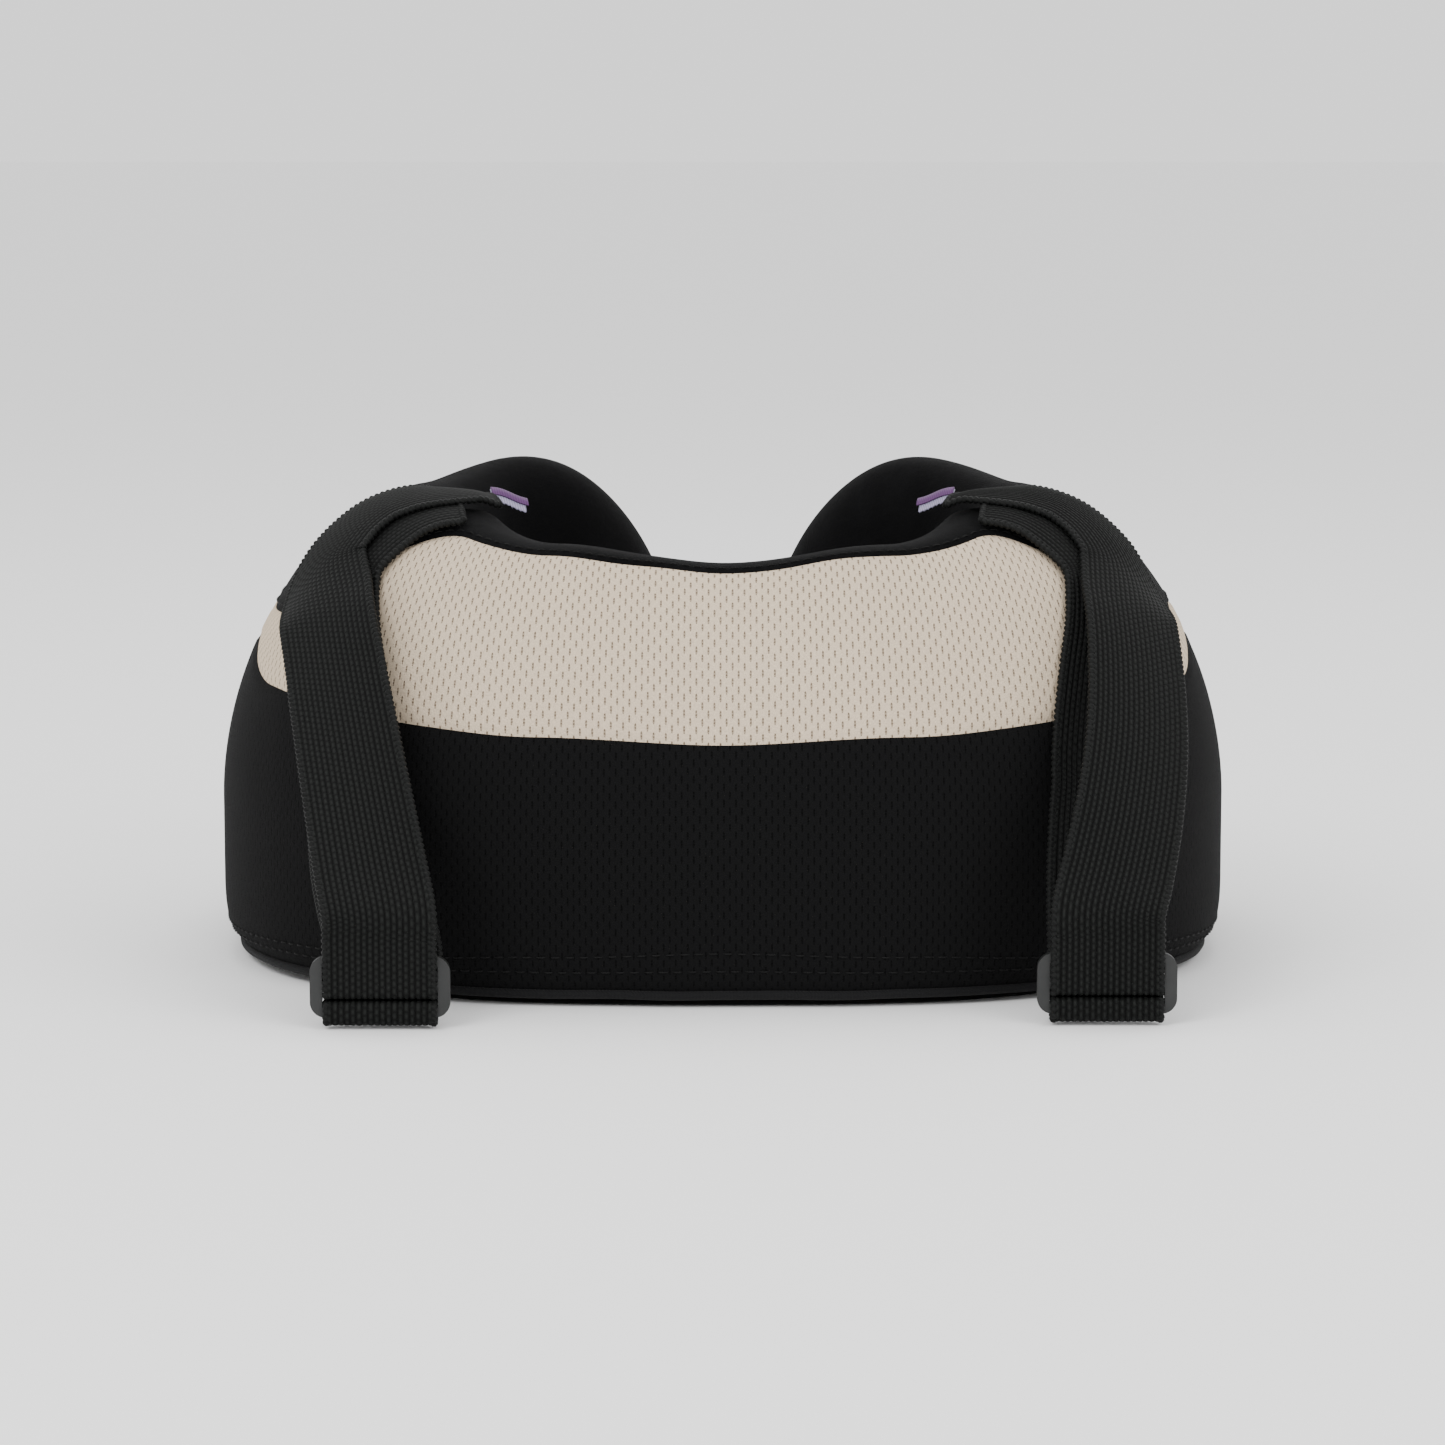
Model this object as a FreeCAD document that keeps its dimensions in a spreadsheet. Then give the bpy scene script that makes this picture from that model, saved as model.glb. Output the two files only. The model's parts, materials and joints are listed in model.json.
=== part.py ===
import FreeCAD, Part
import math
import os
import Sketcher

# U-shaped neck massager: padded cushion, twin-rotor massage unit, battery, control pod, strap loops.
# Frame: +Z up, nape of the cushion towards -Y, horns towards +Y, the flat base rests on z = 0.

os.makedirs("parts", exist_ok=True)
doc = FreeCAD.newDocument("neck_massager")
dims = doc.addObject("Spreadsheet::Sheet", "dims")
Vec = FreeCAD.Vector

# ---------------------------------------------------------------- driving dimensions (mm, degrees)
DIMENSIONS = {
    # cushion
    "cushion_half_width": 117.6,
    "cushion_half_depth": 100.0,
    "back_exponent": 2.9,
    "front_exponent": 2.5,
    "horn_gap_half": 12.0,
    "horn_tip_length": 66.0,
    "horn_tip_exponent": 2.4,
    "cushion_forward_shift": 16.0,
    "cover_thickness": 2.0,
    "foam_gap": 1.0,
    "base_panel_thickness": 2.0,
    "piping_radius": 1.3,
    # zip under the nape
    "zip_length": 150.0,
    "zip_width": 6.0,
    "zip_thickness": 1.4,
    "zip_offset_y": -84.0,
    "zip_pull_travel": 130.0,
    # massage unit
    "unit_height": 66.0,
    "gear_plane_y": -84.0,
    "gear_module": 1.25,
    "wheel_teeth": 40.0,
    "wheel_width": 7.0,
    "worm_pitch_radius": 6.0,
    "tooth_half_width": 0.75,
    "flank_angle": 20.0,
    "tooth_addendum": 1.1,
    "tooth_dedendum": 1.6,
    "thread_addendum": 1.25,
    "thread_dedendum": 1.4,
    "worm_length": 24.0,
    "worm_shaft_radius": 2.0,
    "running_clearance": 0.05,
    "output_shaft_radius": 4.0,
    "bushing_wall": 2.0,
    "housing_half_width": 61.5,
    "housing_half_height": 30.5,
    "housing_back_y": -102.0,
    "housing_front_y": -75.0,
    "housing_wall": 2.5,
    "front_cover_thickness": 3.0,
    "motor_radius": 14.0,
    "motor_length": 27.0,
    "motor_cap_thickness": 3.0,
    "rotor_front_y": -66.0,
    "rotor_thickness": 4.0,
    "rotor_reach": 17.0,
    "rotor_end_radius": 8.0,
    "massage_ball_radius": 11.5,
    "massage_ball_depth": 10.0,
    "screw_radius": 1.2,
    "screw_head_radius": 2.3,
    "screw_head_height": 1.6,
    "screw_boss_radius": 3.4,
    "screw_inset": 5.0,
    # battery
    "cell_radius": 9.0,
    "cell_length": 65.0,
    "battery_x": -114.0,
    "battery_y": 36.0,
    "battery_z": 62.0,
    "battery_wall": 1.5,
    # control pod on the right horn
    "pod_x": 82.0,
    "pod_y": 141.2,
    "pod_z": 60.0,
    "pod_angle": -23.0,
    "pod_width": 54.0,
    "pod_depth": 13.0,
    "pod_tall": 19.0,
    "pod_wall": 1.6,
    "bezel_thickness": 2.0,
    "bezel_lip": 1.5,
    "button_radius": 3.9,
    "button_gap": 0.3,
    "button_rise": 1.2,
    "button_travel": 0.8,
    "button_pitch": 12.0,
    "button_first_x": -20.0,
    "socket_x": 18.0,
    "lens_x": 10.9,
    # wiring
    "battery_lead_radius": 1.6,
    "motor_lead_radius": 1.4,
    "lead_channel_radius": 2.6,
    # strap loops
    "webbing_width": 32.0,
    "webbing_thickness": 1.6,
    "glide_width": 40.0,
    "glide_thickness": 2.6,
    "glide_slot": 4.4,
    "tag_width": 9.0,
    "tag_thickness": 0.8,
}
for row, (alias, number) in enumerate(DIMENSIONS.items(), start=1):
    dims.set(f"A{row}", alias)
    dims.set(f"B{row}", str(number))
    dims.setAlias(f"B{row}", alias)
doc.recompute()


def cell(alias):
    return float(dims.get(alias))


# ---------------------------------------------------------------- small helpers
def bind(obj, **expressions):
    """Binds properties of obj to expressions over the spreadsheet."""
    for name, expression in expressions.items():
        obj.setExpression(name.replace("__", "."), expression)
    return obj


def put(obj, x="0", y="0", z="0", turn=None):
    """Places obj, its base bound to the sheet; turn is (axis, degrees)."""
    if turn:
        obj.Placement = FreeCAD.Placement(Vec(), FreeCAD.Rotation(Vec(*turn[0]), turn[1]))
    return bind(obj, Placement__Base__x=x, Placement__Base__y=y, Placement__Base__z=z)


def box(name, length, width, height):
    obj = doc.addObject("Part::Box", name)
    return bind(obj, Length=length, Width=width, Height=height)


def cylinder(name, radius, height):
    obj = doc.addObject("Part::Cylinder", name)
    return bind(obj, Radius=radius, Height=height)


def cut(name, base, tool):
    obj = doc.addObject("Part::Cut", name)
    obj.Base, obj.Tool = base, tool
    return obj


def fuse(name, pieces):
    obj = doc.addObject("Part::MultiFuse", name)
    obj.Shapes = pieces
    return obj


def group(name, pieces):
    obj = doc.addObject("Part::Compound", name)
    obj.Links = pieces
    return obj


def fixed_shape(name, shape):
    obj = doc.addObject("Part::Feature", name)
    obj.Shape = shape
    return obj


def origin_plane(body, role):
    return next(f for f in body.Origin.OriginFeatures if f.Role == role)


def sketch_on(body, name, role):
    sketch = body.newObject("Sketcher::SketchObject", name)
    sketch.AttachmentSupport = [(origin_plane(body, role), "")]
    sketch.MapMode = "FlatFace"
    return sketch


def polygon(sketch, points):
    """Closes a polygon through the points."""
    flat = [Vec(x, y, 0) for x, y in points]
    for a, b in zip(flat, flat[1:] + flat[:1]):
        sketch.addGeometry(Part.LineSegment(a, b), False)


SUB_PARTS = []


def sub_part(obj, label):
    """Names a finished sub-part; the label is its node and file name."""
    obj.Label = label
    SUB_PARTS.append(obj)
    return obj


# ---------------------------------------------------------------- cushion form
HALF_X = cell("cushion_half_width")
HALF_Y = cell("cushion_half_depth")
SHIFT_Y = cell("cushion_forward_shift")
COVER = cell("cover_thickness")
LOWER_CENTRE = 26.0      # height where the lower rounding starts
LOWER_DROP = 29.0        # depth of the lower rounding, cut flat by the base at z = 0
LOWER_EXPONENT = 4.0
TIP_HEIGHT = 55.0        # the horn ends close towards this height
BASE_ANGLE = -math.degrees(math.asin((LOWER_CENTRE / LOWER_DROP) ** (LOWER_EXPONENT / 2)))
PIPING_ANGLE = BASE_ANGLE + 16


def signed_power(value, power):
    return math.copysign(abs(value) ** power, value)


def trace_centreline(steps=2000):
    """Right half of the cushion's centreline: points and arc lengths from the nape to the horn end."""
    points, lengths = [], []
    for i in range(steps + 1):
        angle = -math.pi / 2 + math.pi * i / steps
        c, s = math.cos(angle), math.sin(angle)
        power = 2 / (cell("back_exponent") if s < 0 else cell("front_exponent"))
        point = (HALF_X * signed_power(c, power), HALF_Y * signed_power(s, power))
        if point[1] > 0 and point[0] < cell("horn_gap_half"):
            break
        step = math.dist(point, points[-1]) if points else 0.0
        lengths.append(lengths[-1] + step if lengths else 0.0)
        points.append(point)
    return points, lengths


LINE, REACH = trace_centreline()
ARM = REACH[-1]

# Profile along the arm: (distance from the nape, value), eased between entries.
HEIGHT = [(0, 129), (50, 134), (95, 142.5), (130, 143.5), (170, 141.5), (230, 143), (300, 149), (ARM, 146)]
SHOULDER = [(0, 34), (90, 36), (150, 50), (250, 50), (ARM, 45)]
OUTER = [(0, 34), (90, 36), (150, 40), (250, 42), (ARM, 40)]
INNER = [(0, 34), (45, 38), (95, 54), (140, 48), (190, 40), (250, 42), (ARM, 40)]
RIDGE = [(0, 2), (50, -3), (95, -17), (140, -22), (240, -20), (300, -6), (ARM, -2)]
OUTER_EXPONENT = [(0, 2.3), (90, 2.1), (150, 1.85), (240, 1.85), (320, 2.1), (ARM, 2.1)]
INNER_EXPONENT = [(0, 2.5), (50, 2.6), (95, 3.1), (140, 3.0), (200, 2.5), (ARM, 2.5)]
# Seams, as angles round the section from the outer side.
MID_SEAM = [(0, 24), (80, 25), (125, 27), (160, 34), (ARM, 36)]
TOP_SEAM = [(0, 78), (47, 77.5), (76, 75), (100, 62), (135, 41), (200, 41), (300, 52), (ARM, 54)]


def eased(table, distance):
    distance = min(abs(distance), table[-1][0])
    for (a, low), (b, high) in zip(table, table[1:]):
        if distance <= b:
            share = (distance - a) / (b - a)
            return low + (high - low) * share * share * (3 - 2 * share)
    return table[-1][1]


def line_point(distance):
    """Point on the right half of the centreline, continued as its mirror for a negative distance."""
    mirrored = math.copysign(1.0, distance)
    distance = min(abs(distance), ARM)
    low, high = 0, len(REACH) - 1
    while high - low > 1:
        middle = (low + high) // 2
        low, high = (middle, high) if REACH[middle] <= distance else (low, middle)
    share = (distance - REACH[low]) / (REACH[high] - REACH[low])
    x = LINE[low][0] + (LINE[high][0] - LINE[low][0]) * share
    y = LINE[low][1] + (LINE[high][1] - LINE[low][1]) * share
    return mirrored * x, y


def line_frame(distance):
    """Centreline point and its outward direction in plan."""
    reach = 3.0
    end = ARM - 0.01
    a = line_point(min(distance + reach, end))
    b = line_point(max(distance - reach, -end))
    tx, ty = a[0] - b[0], a[1] - b[1]
    size = math.hypot(tx, ty)
    return line_point(distance), (ty / size, -tx / size)


def section_point(distance, angle):
    """Offset outwards from the centreline and height of the section at an angle in degrees."""
    ridge = eased(RIDGE, distance)
    c, s = math.cos(math.radians(angle)), math.sin(math.radians(angle))
    half = eased(OUTER, distance) - ridge if c >= 0 else eased(INNER, distance) + ridge
    if s >= 0:
        exponent = eased(OUTER_EXPONENT if c >= 0 else INNER_EXPONENT, distance)
        low = eased(SHOULDER, distance)
        offset = ridge + half * signed_power(c, 2 / exponent)
        return offset, low + (eased(HEIGHT, distance) - low) * s ** (2 / exponent)
    offset = ridge + half * signed_power(c, 2 / LOWER_EXPONENT)
    return offset, LOWER_CENTRE - LOWER_DROP * abs(s) ** (2 / LOWER_EXPONENT)


def inset_point(distance, angle, inset):
    """Section point moved inwards, square to the section."""
    if inset == 0:
        return section_point(distance, angle)
    a = section_point(distance, angle + 0.5)
    b = section_point(distance, angle - 0.5)
    du, dz = a[0] - b[0], a[1] - b[1]
    size = math.hypot(du, dz)
    offset, height = section_point(distance, angle)
    return offset - inset * dz / size, height + inset * du / size


def tip_scale(distance, inset):
    over = abs(distance) + inset - (ARM - cell("horn_tip_length"))
    if over <= 0:
        return 1.0
    power = cell("horn_tip_exponent")
    rest = 1 - (over / cell("horn_tip_length")) ** power
    return max(rest, 1e-4) ** (1 / power)


def cushion_point(distance, angle, inset=0.0, stand_off=0.0):
    """Point of the cushion's surface, or of a surface a little inside or outside it."""
    offset, height = inset_point(distance, angle, inset - stand_off)
    scale = tip_scale(distance, inset)
    (x, y), (nx, ny) = line_frame(distance)
    height = TIP_HEIGHT + (height - TIP_HEIGHT) * scale
    return Vec(x + nx * offset * scale, y + ny * offset * scale + SHIFT_Y, max(height, 0.0))


def stations(margin):
    """Distances along the U, closer together at the horn ends."""
    body = ARM - cell("horn_tip_length")
    body_steps, tip_steps = 20, 11
    straight = [body * i / body_steps for i in range(body_steps)]
    tip = [body + (ARM - margin - body) * math.sin(math.pi / 2 * i / tip_steps) for i in range(tip_steps + 1)]
    half = straight + tip
    return [-d for d in reversed(half[1:])] + half


def spline(points):
    curve = Part.BSplineCurve()
    curve.interpolate(points)
    return curve.toShape()


def loft(wires):
    """Closed solid with straight rulings between neighbouring sections."""
    return Part.makeLoft(wires, True, True)


def angles_between(start, end, count):
    return [start + (end - start) * i / (count - 1) for i in range(count)]


def cover_strip(start_angle, end_angle, count, thickness=COVER):
    """Fabric panel: the cushion's outer skin between two seam angles, each a function of distance."""
    wires = []
    for d in stations(0.5):
        angles = angles_between(start_angle(d), end_angle(d), count)
        outer = [cushion_point(d, a) for a in angles]
        inner = [cushion_point(d, a, thickness) for a in reversed(angles)]
        edges = [spline(outer), Part.makeLine(outer[-1], inner[0])]
        edges += [spline(inner), Part.makeLine(inner[-1], outer[0])]
        wires.append(Part.Wire(edges))
    return loft(wires)


def outer_base(distance):
    return BASE_ANGLE


def inner_base(distance):
    return 180 - BASE_ANGLE


def mid_seam(distance):
    return eased(MID_SEAM, distance)


def top_seam(distance):
    return eased(TOP_SEAM, distance)


def padded_core(inset, floor):
    """Closed body inside the cover: a rounded section on a flat floor."""
    wires = []
    for d in stations(0.5 + inset):
        angles = angles_between(BASE_ANGLE, 180 - BASE_ANGLE, 45)
        points = [cushion_point(d, a, inset) for a in angles]
        points = [Vec(p.x, p.y, max(p.z, floor)) for p in points]
        wires.append(Part.Wire([spline(points), Part.makeLine(points[-1], points[0])]))
    return loft(wires)


def base_plate(thickness):
    """Flat bottom panel inside the lower edges of the outer and inner panels."""
    outer, inner = ([cushion_point(d, a, COVER + 0.1) for d in stations(0.5)]
                    for a in (BASE_ANGLE, 180 - BASE_ANGLE))
    around = [Vec(p.x, p.y, 0) for p in outer + inner[::-1]]
    return Part.Face(Part.makePolygon(around + around[:1])).extrude(Vec(0, 0, thickness))


# ---------------------------------------------------------------- gear train and motor
UNIT_Z = "dims.unit_height"
GEAR_Y = "dims.gear_plane_y"
WHEEL_PITCH_RADIUS = cell("gear_module") * cell("wheel_teeth") / 2
ROTOR_X = WHEEL_PITCH_RADIUS + cell("worm_pitch_radius")
TEETH = int(cell("wheel_teeth"))
ALONG_Y = ((1, 0, 0), -90)      # turns a cylinder's axis from +Z to +Y
SIDES = {"left": -1, "right": 1}


def shaft_along_y(name, radius, start_y, end_y, x):
    """Round bar along +Y between two heights of the unit, at unit height."""
    bar = cylinder(name, radius, f"({end_y}) - ({start_y})")
    return put(bar, str(x), start_y, UNIT_Z, ALONG_Y)


def ring_along_y(name, outer, inner, start_y, end_y, x):
    solid = shaft_along_y(name + "_outer", outer, start_y, end_y, x)
    hole = shaft_along_y(name + "_hole", inner, f"{start_y} - 1", f"{end_y} + 1", x)
    return cut(name, solid, hole)


def worm_wheel(side):
    """Spur-cut wheel that meets the worm on the unit's centre plane."""
    name = f"worm_wheel_{side}"
    body = doc.addObject("PartDesign::Body", name)
    tip = WHEEL_PITCH_RADIUS + cell("tooth_addendum")
    root = WHEEL_PITCH_RADIUS - cell("tooth_dedendum")
    slope = math.tan(math.radians(cell("flank_angle")))
    tip_half = cell("tooth_half_width") - cell("tooth_addendum") * slope
    root_half = cell("tooth_half_width") + cell("tooth_dedendum") * slope
    pitch_angle = 2 * math.pi / TEETH
    # the left wheel turns a tooth towards the worm, the right wheel a gap
    first = 0.0 if side == "left" else pitch_angle / 2
    outline = []
    for tooth in range(TEETH):
        centre = first + tooth * pitch_angle
        for radius, half in ((root, -root_half), (tip, -tip_half), (tip, tip_half), (root, root_half)):
            angle = centre + half / radius
            outline.append((radius * math.cos(angle), radius * math.sin(angle)))
    sketch = sketch_on(body, name + "_teeth", "XZ_Plane")
    polygon(sketch, outline)
    pad = body.newObject("PartDesign::Pad", name + "_pad")
    pad.Profile = sketch
    pad.Midplane = True
    bind(pad, Length="dims.wheel_width")
    bore = sketch_on(body, name + "_bore", "XZ_Plane")
    circle = Part.Circle(Vec(0, 0, 0), Vec(0, 0, 1), cell("output_shaft_radius"))
    bore.addGeometry(circle, False)
    bore.addConstraint(Sketcher.Constraint("Radius", 0, cell("output_shaft_radius")))
    bore.setExpression("Constraints[0]", "dims.output_shaft_radius + 0.02")
    pocket = body.newObject("PartDesign::Pocket", name + "_through")
    pocket.Profile = bore
    pocket.Type = "ThroughAll"
    pocket.Midplane = True
    body.Tip = pocket
    put(body, str(SIDES[side] * ROTOR_X), GEAR_Y, UNIT_Z)
    return sub_part(body, name)


def worm():
    """Single-start right-hand worm with trapezoid thread."""
    body = doc.addObject("PartDesign::Body", "worm")
    pitch_radius = cell("worm_pitch_radius")
    core = pitch_radius - cell("thread_dedendum")
    crest = pitch_radius + cell("thread_addendum")
    slope = math.tan(math.radians(cell("flank_angle")))
    crest_half = cell("tooth_half_width") - cell("thread_addendum") * slope
    core_half = cell("tooth_half_width") + cell("thread_dedendum") * slope
    lead = math.pi * cell("gear_module")
    half = cell("worm_length") / 2
    bore = cell("worm_shaft_radius") + 0.02
    sketch = sketch_on(body, "worm_core", "XZ_Plane")
    polygon(sketch, [(bore, -half), (core, -half), (core, half), (bore, half)])
    core_turn = body.newObject("PartDesign::Revolution", "worm_core_turn")
    core_turn.Profile = sketch
    core_turn.ReferenceAxis = (sketch, ["V_Axis"])
    core_turn.Angle = 360
    doc.recompute()
    thread = sketch_on(body, "worm_thread", "XZ_Plane")
    turns = 5
    low = -lead * turns / 2
    inner = core - 0.3
    inner_half = core_half + 0.1
    polygon(thread, [(inner, low - inner_half), (crest, low - crest_half),
                     (crest, low + crest_half), (inner, low + inner_half)])
    helix = body.newObject("PartDesign::AdditiveHelix", "worm_thread_helix")
    helix.Profile = thread
    helix.ReferenceAxis = (thread, ["V_Axis"])
    helix.Mode = 1
    helix.Pitch = lead
    helix.Turns = turns
    helix.Angle = 0
    helix.LeftHanded = False
    helix.Reversed = False
    body.Tip = helix
    # five turns start half a lead from the unit's centre plane, so a thread faces the right wheel's gap
    put(body, "0", GEAR_Y, f"dims.unit_height + {lead / 2}")
    return sub_part(body, "worm")


for side in SIDES:
    worm_wheel(side)
worm()

# worm shaft, from inside the motor up to the top bushing
shaft = cylinder("worm_shaft", "dims.worm_shaft_radius", "78")
sub_part(put(shaft, "0", GEAR_Y, "dims.unit_height - 53"), "worm_shaft")

lower_ring = cylinder("lower_ring", "dims.worm_shaft_radius + 3", "6")
put(lower_ring, "0", GEAR_Y, "dims.unit_height - dims.housing_half_height + 0.1")
upper_ring = cylinder("upper_ring", "dims.worm_shaft_radius + 3", "9")
put(upper_ring, "0", GEAR_Y, "dims.unit_height + 18.4")
shaft_bore = cylinder("shaft_bore", "dims.worm_shaft_radius + dims.running_clearance", "90")
put(shaft_bore, "0", GEAR_Y, "dims.unit_height - 55")
worm_rings = group("worm_rings", [lower_ring, upper_ring])
sub_part(cut("worm_bushing_rings", worm_rings, shaft_bore), "worm_bushings")

# output shafts, their bushings, rotors and massage balls
BUSHING_BORE = "dims.output_shaft_radius + dims.running_clearance"
BUSHING_OUTER = "dims.output_shaft_radius + dims.bushing_wall"
REAR_BUSHING = ("dims.housing_back_y + dims.housing_wall + 0.1",
                "dims.housing_back_y + dims.housing_wall + 6")
FRONT_BUSHING = ("dims.housing_front_y - 2", "dims.housing_front_y + 4.4")
SCREW_TURN = ((1, 0, 0), -90)


def screw_along_y(name, x, head_y, z, reach):
    """Pan-head screw whose head faces +Y; head_y is the seat under the head."""
    head = cylinder(name + "_head", "dims.screw_head_radius", "dims.screw_head_height")
    put(head, x, head_y, z, SCREW_TURN)
    shank = cylinder(name + "_shank", "dims.screw_radius - 0.05", reach)
    put(shank, x, f"{head_y} - {reach}", z, SCREW_TURN)
    return fuse(name, [head, shank])


bushings = []
for side, sign in SIDES.items():
    x = sign * ROTOR_X
    bar = shaft_along_y(f"output_bar_{side}", "dims.output_shaft_radius",
                        REAR_BUSHING[0], "dims.rotor_front_y", x)
    tapped = shaft_along_y(f"output_tap_{side}", "dims.screw_radius",
                           "dims.rotor_front_y - 9", "dims.rotor_front_y + 1", x)
    sub_part(cut(f"output_shaft_{side}", bar, tapped), f"output_shaft_{side}")
    for label, (start, end) in (("rear", REAR_BUSHING), ("front", FRONT_BUSHING)):
        bushings.append(ring_along_y(f"{label}_bushing_{side}", BUSHING_OUTER, BUSHING_BORE, start, end, x))

    back = "dims.rotor_front_y - dims.rotor_thickness"
    bar = box(f"rotor_bar_{side}", "2 * dims.rotor_reach", "dims.rotor_thickness",
              "2 * dims.rotor_end_radius")
    put(bar, f"{x} - dims.rotor_reach", back, "dims.unit_height - dims.rotor_end_radius")
    ends = [bar]
    for end in (-1, 1):
        disc = cylinder(f"rotor_end_{side}_{end + 1}", "dims.rotor_end_radius", "dims.rotor_thickness")
        ends.append(put(disc, f"{x} + {end} * dims.rotor_reach", back, UNIT_Z, ALONG_Y))
    bore = shaft_along_y(f"rotor_bore_{side}", "dims.output_shaft_radius + 0.02",
                         "dims.rotor_front_y - 10", "dims.rotor_front_y + 1", x)
    sub_part(cut(f"rotor_{side}", fuse(f"rotor_blank_{side}", ends), bore), f"rotor_plate_{side}")
    screw = screw_along_y(f"rotor_screw_{side}", str(x), "dims.rotor_front_y", UNIT_Z, "7")
    sub_part(screw, f"rotor_screw_{side}")

    for place, end in (("outer", sign), ("inner", -sign)):
        name = f"massage_ball_{side}_{place}"
        body = doc.addObject("PartDesign::Body", name)
        radius, depth = cell("massage_ball_radius"), cell("massage_ball_depth")
        sketch = sketch_on(body, name + "_profile", "XY_Plane")
        dome = [(radius * math.cos(math.radians(a)), 2 + (depth - 2) * math.sin(math.radians(a)))
                for a in range(0, 90, 10)]
        polygon(sketch, [(0, 0), (radius - 1.5, 0)] + dome + [(0, depth)])
        turned = body.newObject("PartDesign::Revolution", name + "_turn")
        turned.Profile = sketch
        turned.ReferenceAxis = (sketch, ["V_Axis"])
        turned.Angle = 360
        put(body, f"{x} + {end} * dims.rotor_reach", "dims.rotor_front_y", UNIT_Z)
        sub_part(body, name)
sub_part(group("output_bushing_rings", bushings), "output_bushings")

# gearbox housing
HOUSING_X = "dims.housing_half_width"
HOUSING_LOW = "dims.unit_height - dims.housing_half_height"
BOSS_PLACES = [(a, b) for a in (-1, 1) for b in (-1, 1)]


def boss_place(a, b):
    return (f"{a} * (dims.housing_half_width - dims.screw_inset)",
            f"dims.unit_height + {b} * (dims.housing_half_height - dims.screw_inset)")


shell = box("housing_block", f"2 * {HOUSING_X}", "dims.housing_front_y - dims.housing_back_y",
            "2 * dims.housing_half_height")
put(shell, f"-{HOUSING_X}", "dims.housing_back_y", HOUSING_LOW)
hollow = box("housing_hollow", f"2 * ({HOUSING_X} - dims.housing_wall)", "40",
             "2 * (dims.housing_half_height - dims.housing_wall)")
put(hollow, f"dims.housing_wall - {HOUSING_X}", "dims.housing_back_y + dims.housing_wall",
    f"{HOUSING_LOW} + dims.housing_wall")
bosses = [cut("housing_shell", shell, hollow)]
holes = []
for index, (a, b) in enumerate(BOSS_PLACES):
    x, z = boss_place(a, b)
    boss = cylinder(f"screw_boss_{index}", "dims.screw_boss_radius",
                    "dims.housing_front_y - dims.housing_back_y - 1")
    bosses.append(put(boss, x, "dims.housing_back_y + 1", z, ALONG_Y))
    pilot = cylinder(f"screw_pilot_{index}", "dims.screw_radius", "20")
    holes.append(put(pilot, x, "dims.housing_front_y - 18", z, ALONG_Y))
for side, sign in SIDES.items():
    seat_y = "dims.housing_back_y + dims.housing_wall"
    boss = shaft_along_y(f"bushing_boss_{side}", "dims.output_shaft_radius + dims.bushing_wall + 2.5",
                         "dims.housing_back_y + 1", f"{seat_y} + 5", sign * ROTOR_X)
    seat = shaft_along_y(f"bushing_seat_{side}", f"{BUSHING_OUTER} + 0.02",
                         seat_y, f"{seat_y} + 12", sign * ROTOR_X)
    bosses.append(boss)
    holes.append(seat)
top_boss = cylinder("top_boss", "dims.worm_shaft_radius + 5.5", "8")
bosses.append(put(top_boss, "0", GEAR_Y, "dims.unit_height + 20.5"))
worm_seat = cylinder("worm_seat", "dims.worm_shaft_radius + 3.02", "63")
holes.append(put(worm_seat, "0", GEAR_Y, f"{HOUSING_LOW} - 1"))
for sign in (-1, 1):
    hole = cylinder(f"motor_screw_hole_{sign + 1}", "dims.screw_radius + 0.1", "5")
    holes.append(put(hole, f"{sign} * 8.5", GEAR_Y, f"{HOUSING_LOW} - 1"))
blank = fuse("housing_blank", bosses)
sub_part(cut("gearbox_housing", blank, fuse("housing_holes", holes)), "gearbox_rear_housing")

plate = box("front_plate", f"2 * {HOUSING_X}", "dims.front_cover_thickness", "2 * dims.housing_half_height")
put(plate, f"-{HOUSING_X}", "dims.housing_front_y", HOUSING_LOW)
holes, screws = [], []
for side, sign in SIDES.items():
    holes.append(shaft_along_y(f"front_seat_{side}", f"{BUSHING_OUTER} + 0.02",
                               "dims.housing_front_y - 1", "dims.housing_front_y + 9", sign * ROTOR_X))
for index, (a, b) in enumerate(BOSS_PLACES):
    x, z = boss_place(a, b)
    clearance = cylinder(f"cover_hole_{index}", "dims.screw_radius + 0.2", "9")
    holes.append(put(clearance, x, "dims.housing_front_y - 2", z, ALONG_Y))
    seat = "dims.housing_front_y + dims.front_cover_thickness"
    screws.append(screw_along_y(f"gearbox_screw_{index}", x, seat, z, "16"))
sub_part(cut("gearbox_cover", plate, fuse("cover_holes", holes)), "gearbox_front_cover")
sub_part(group("gearbox_screw_set", screws), "gearbox_screws")

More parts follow.
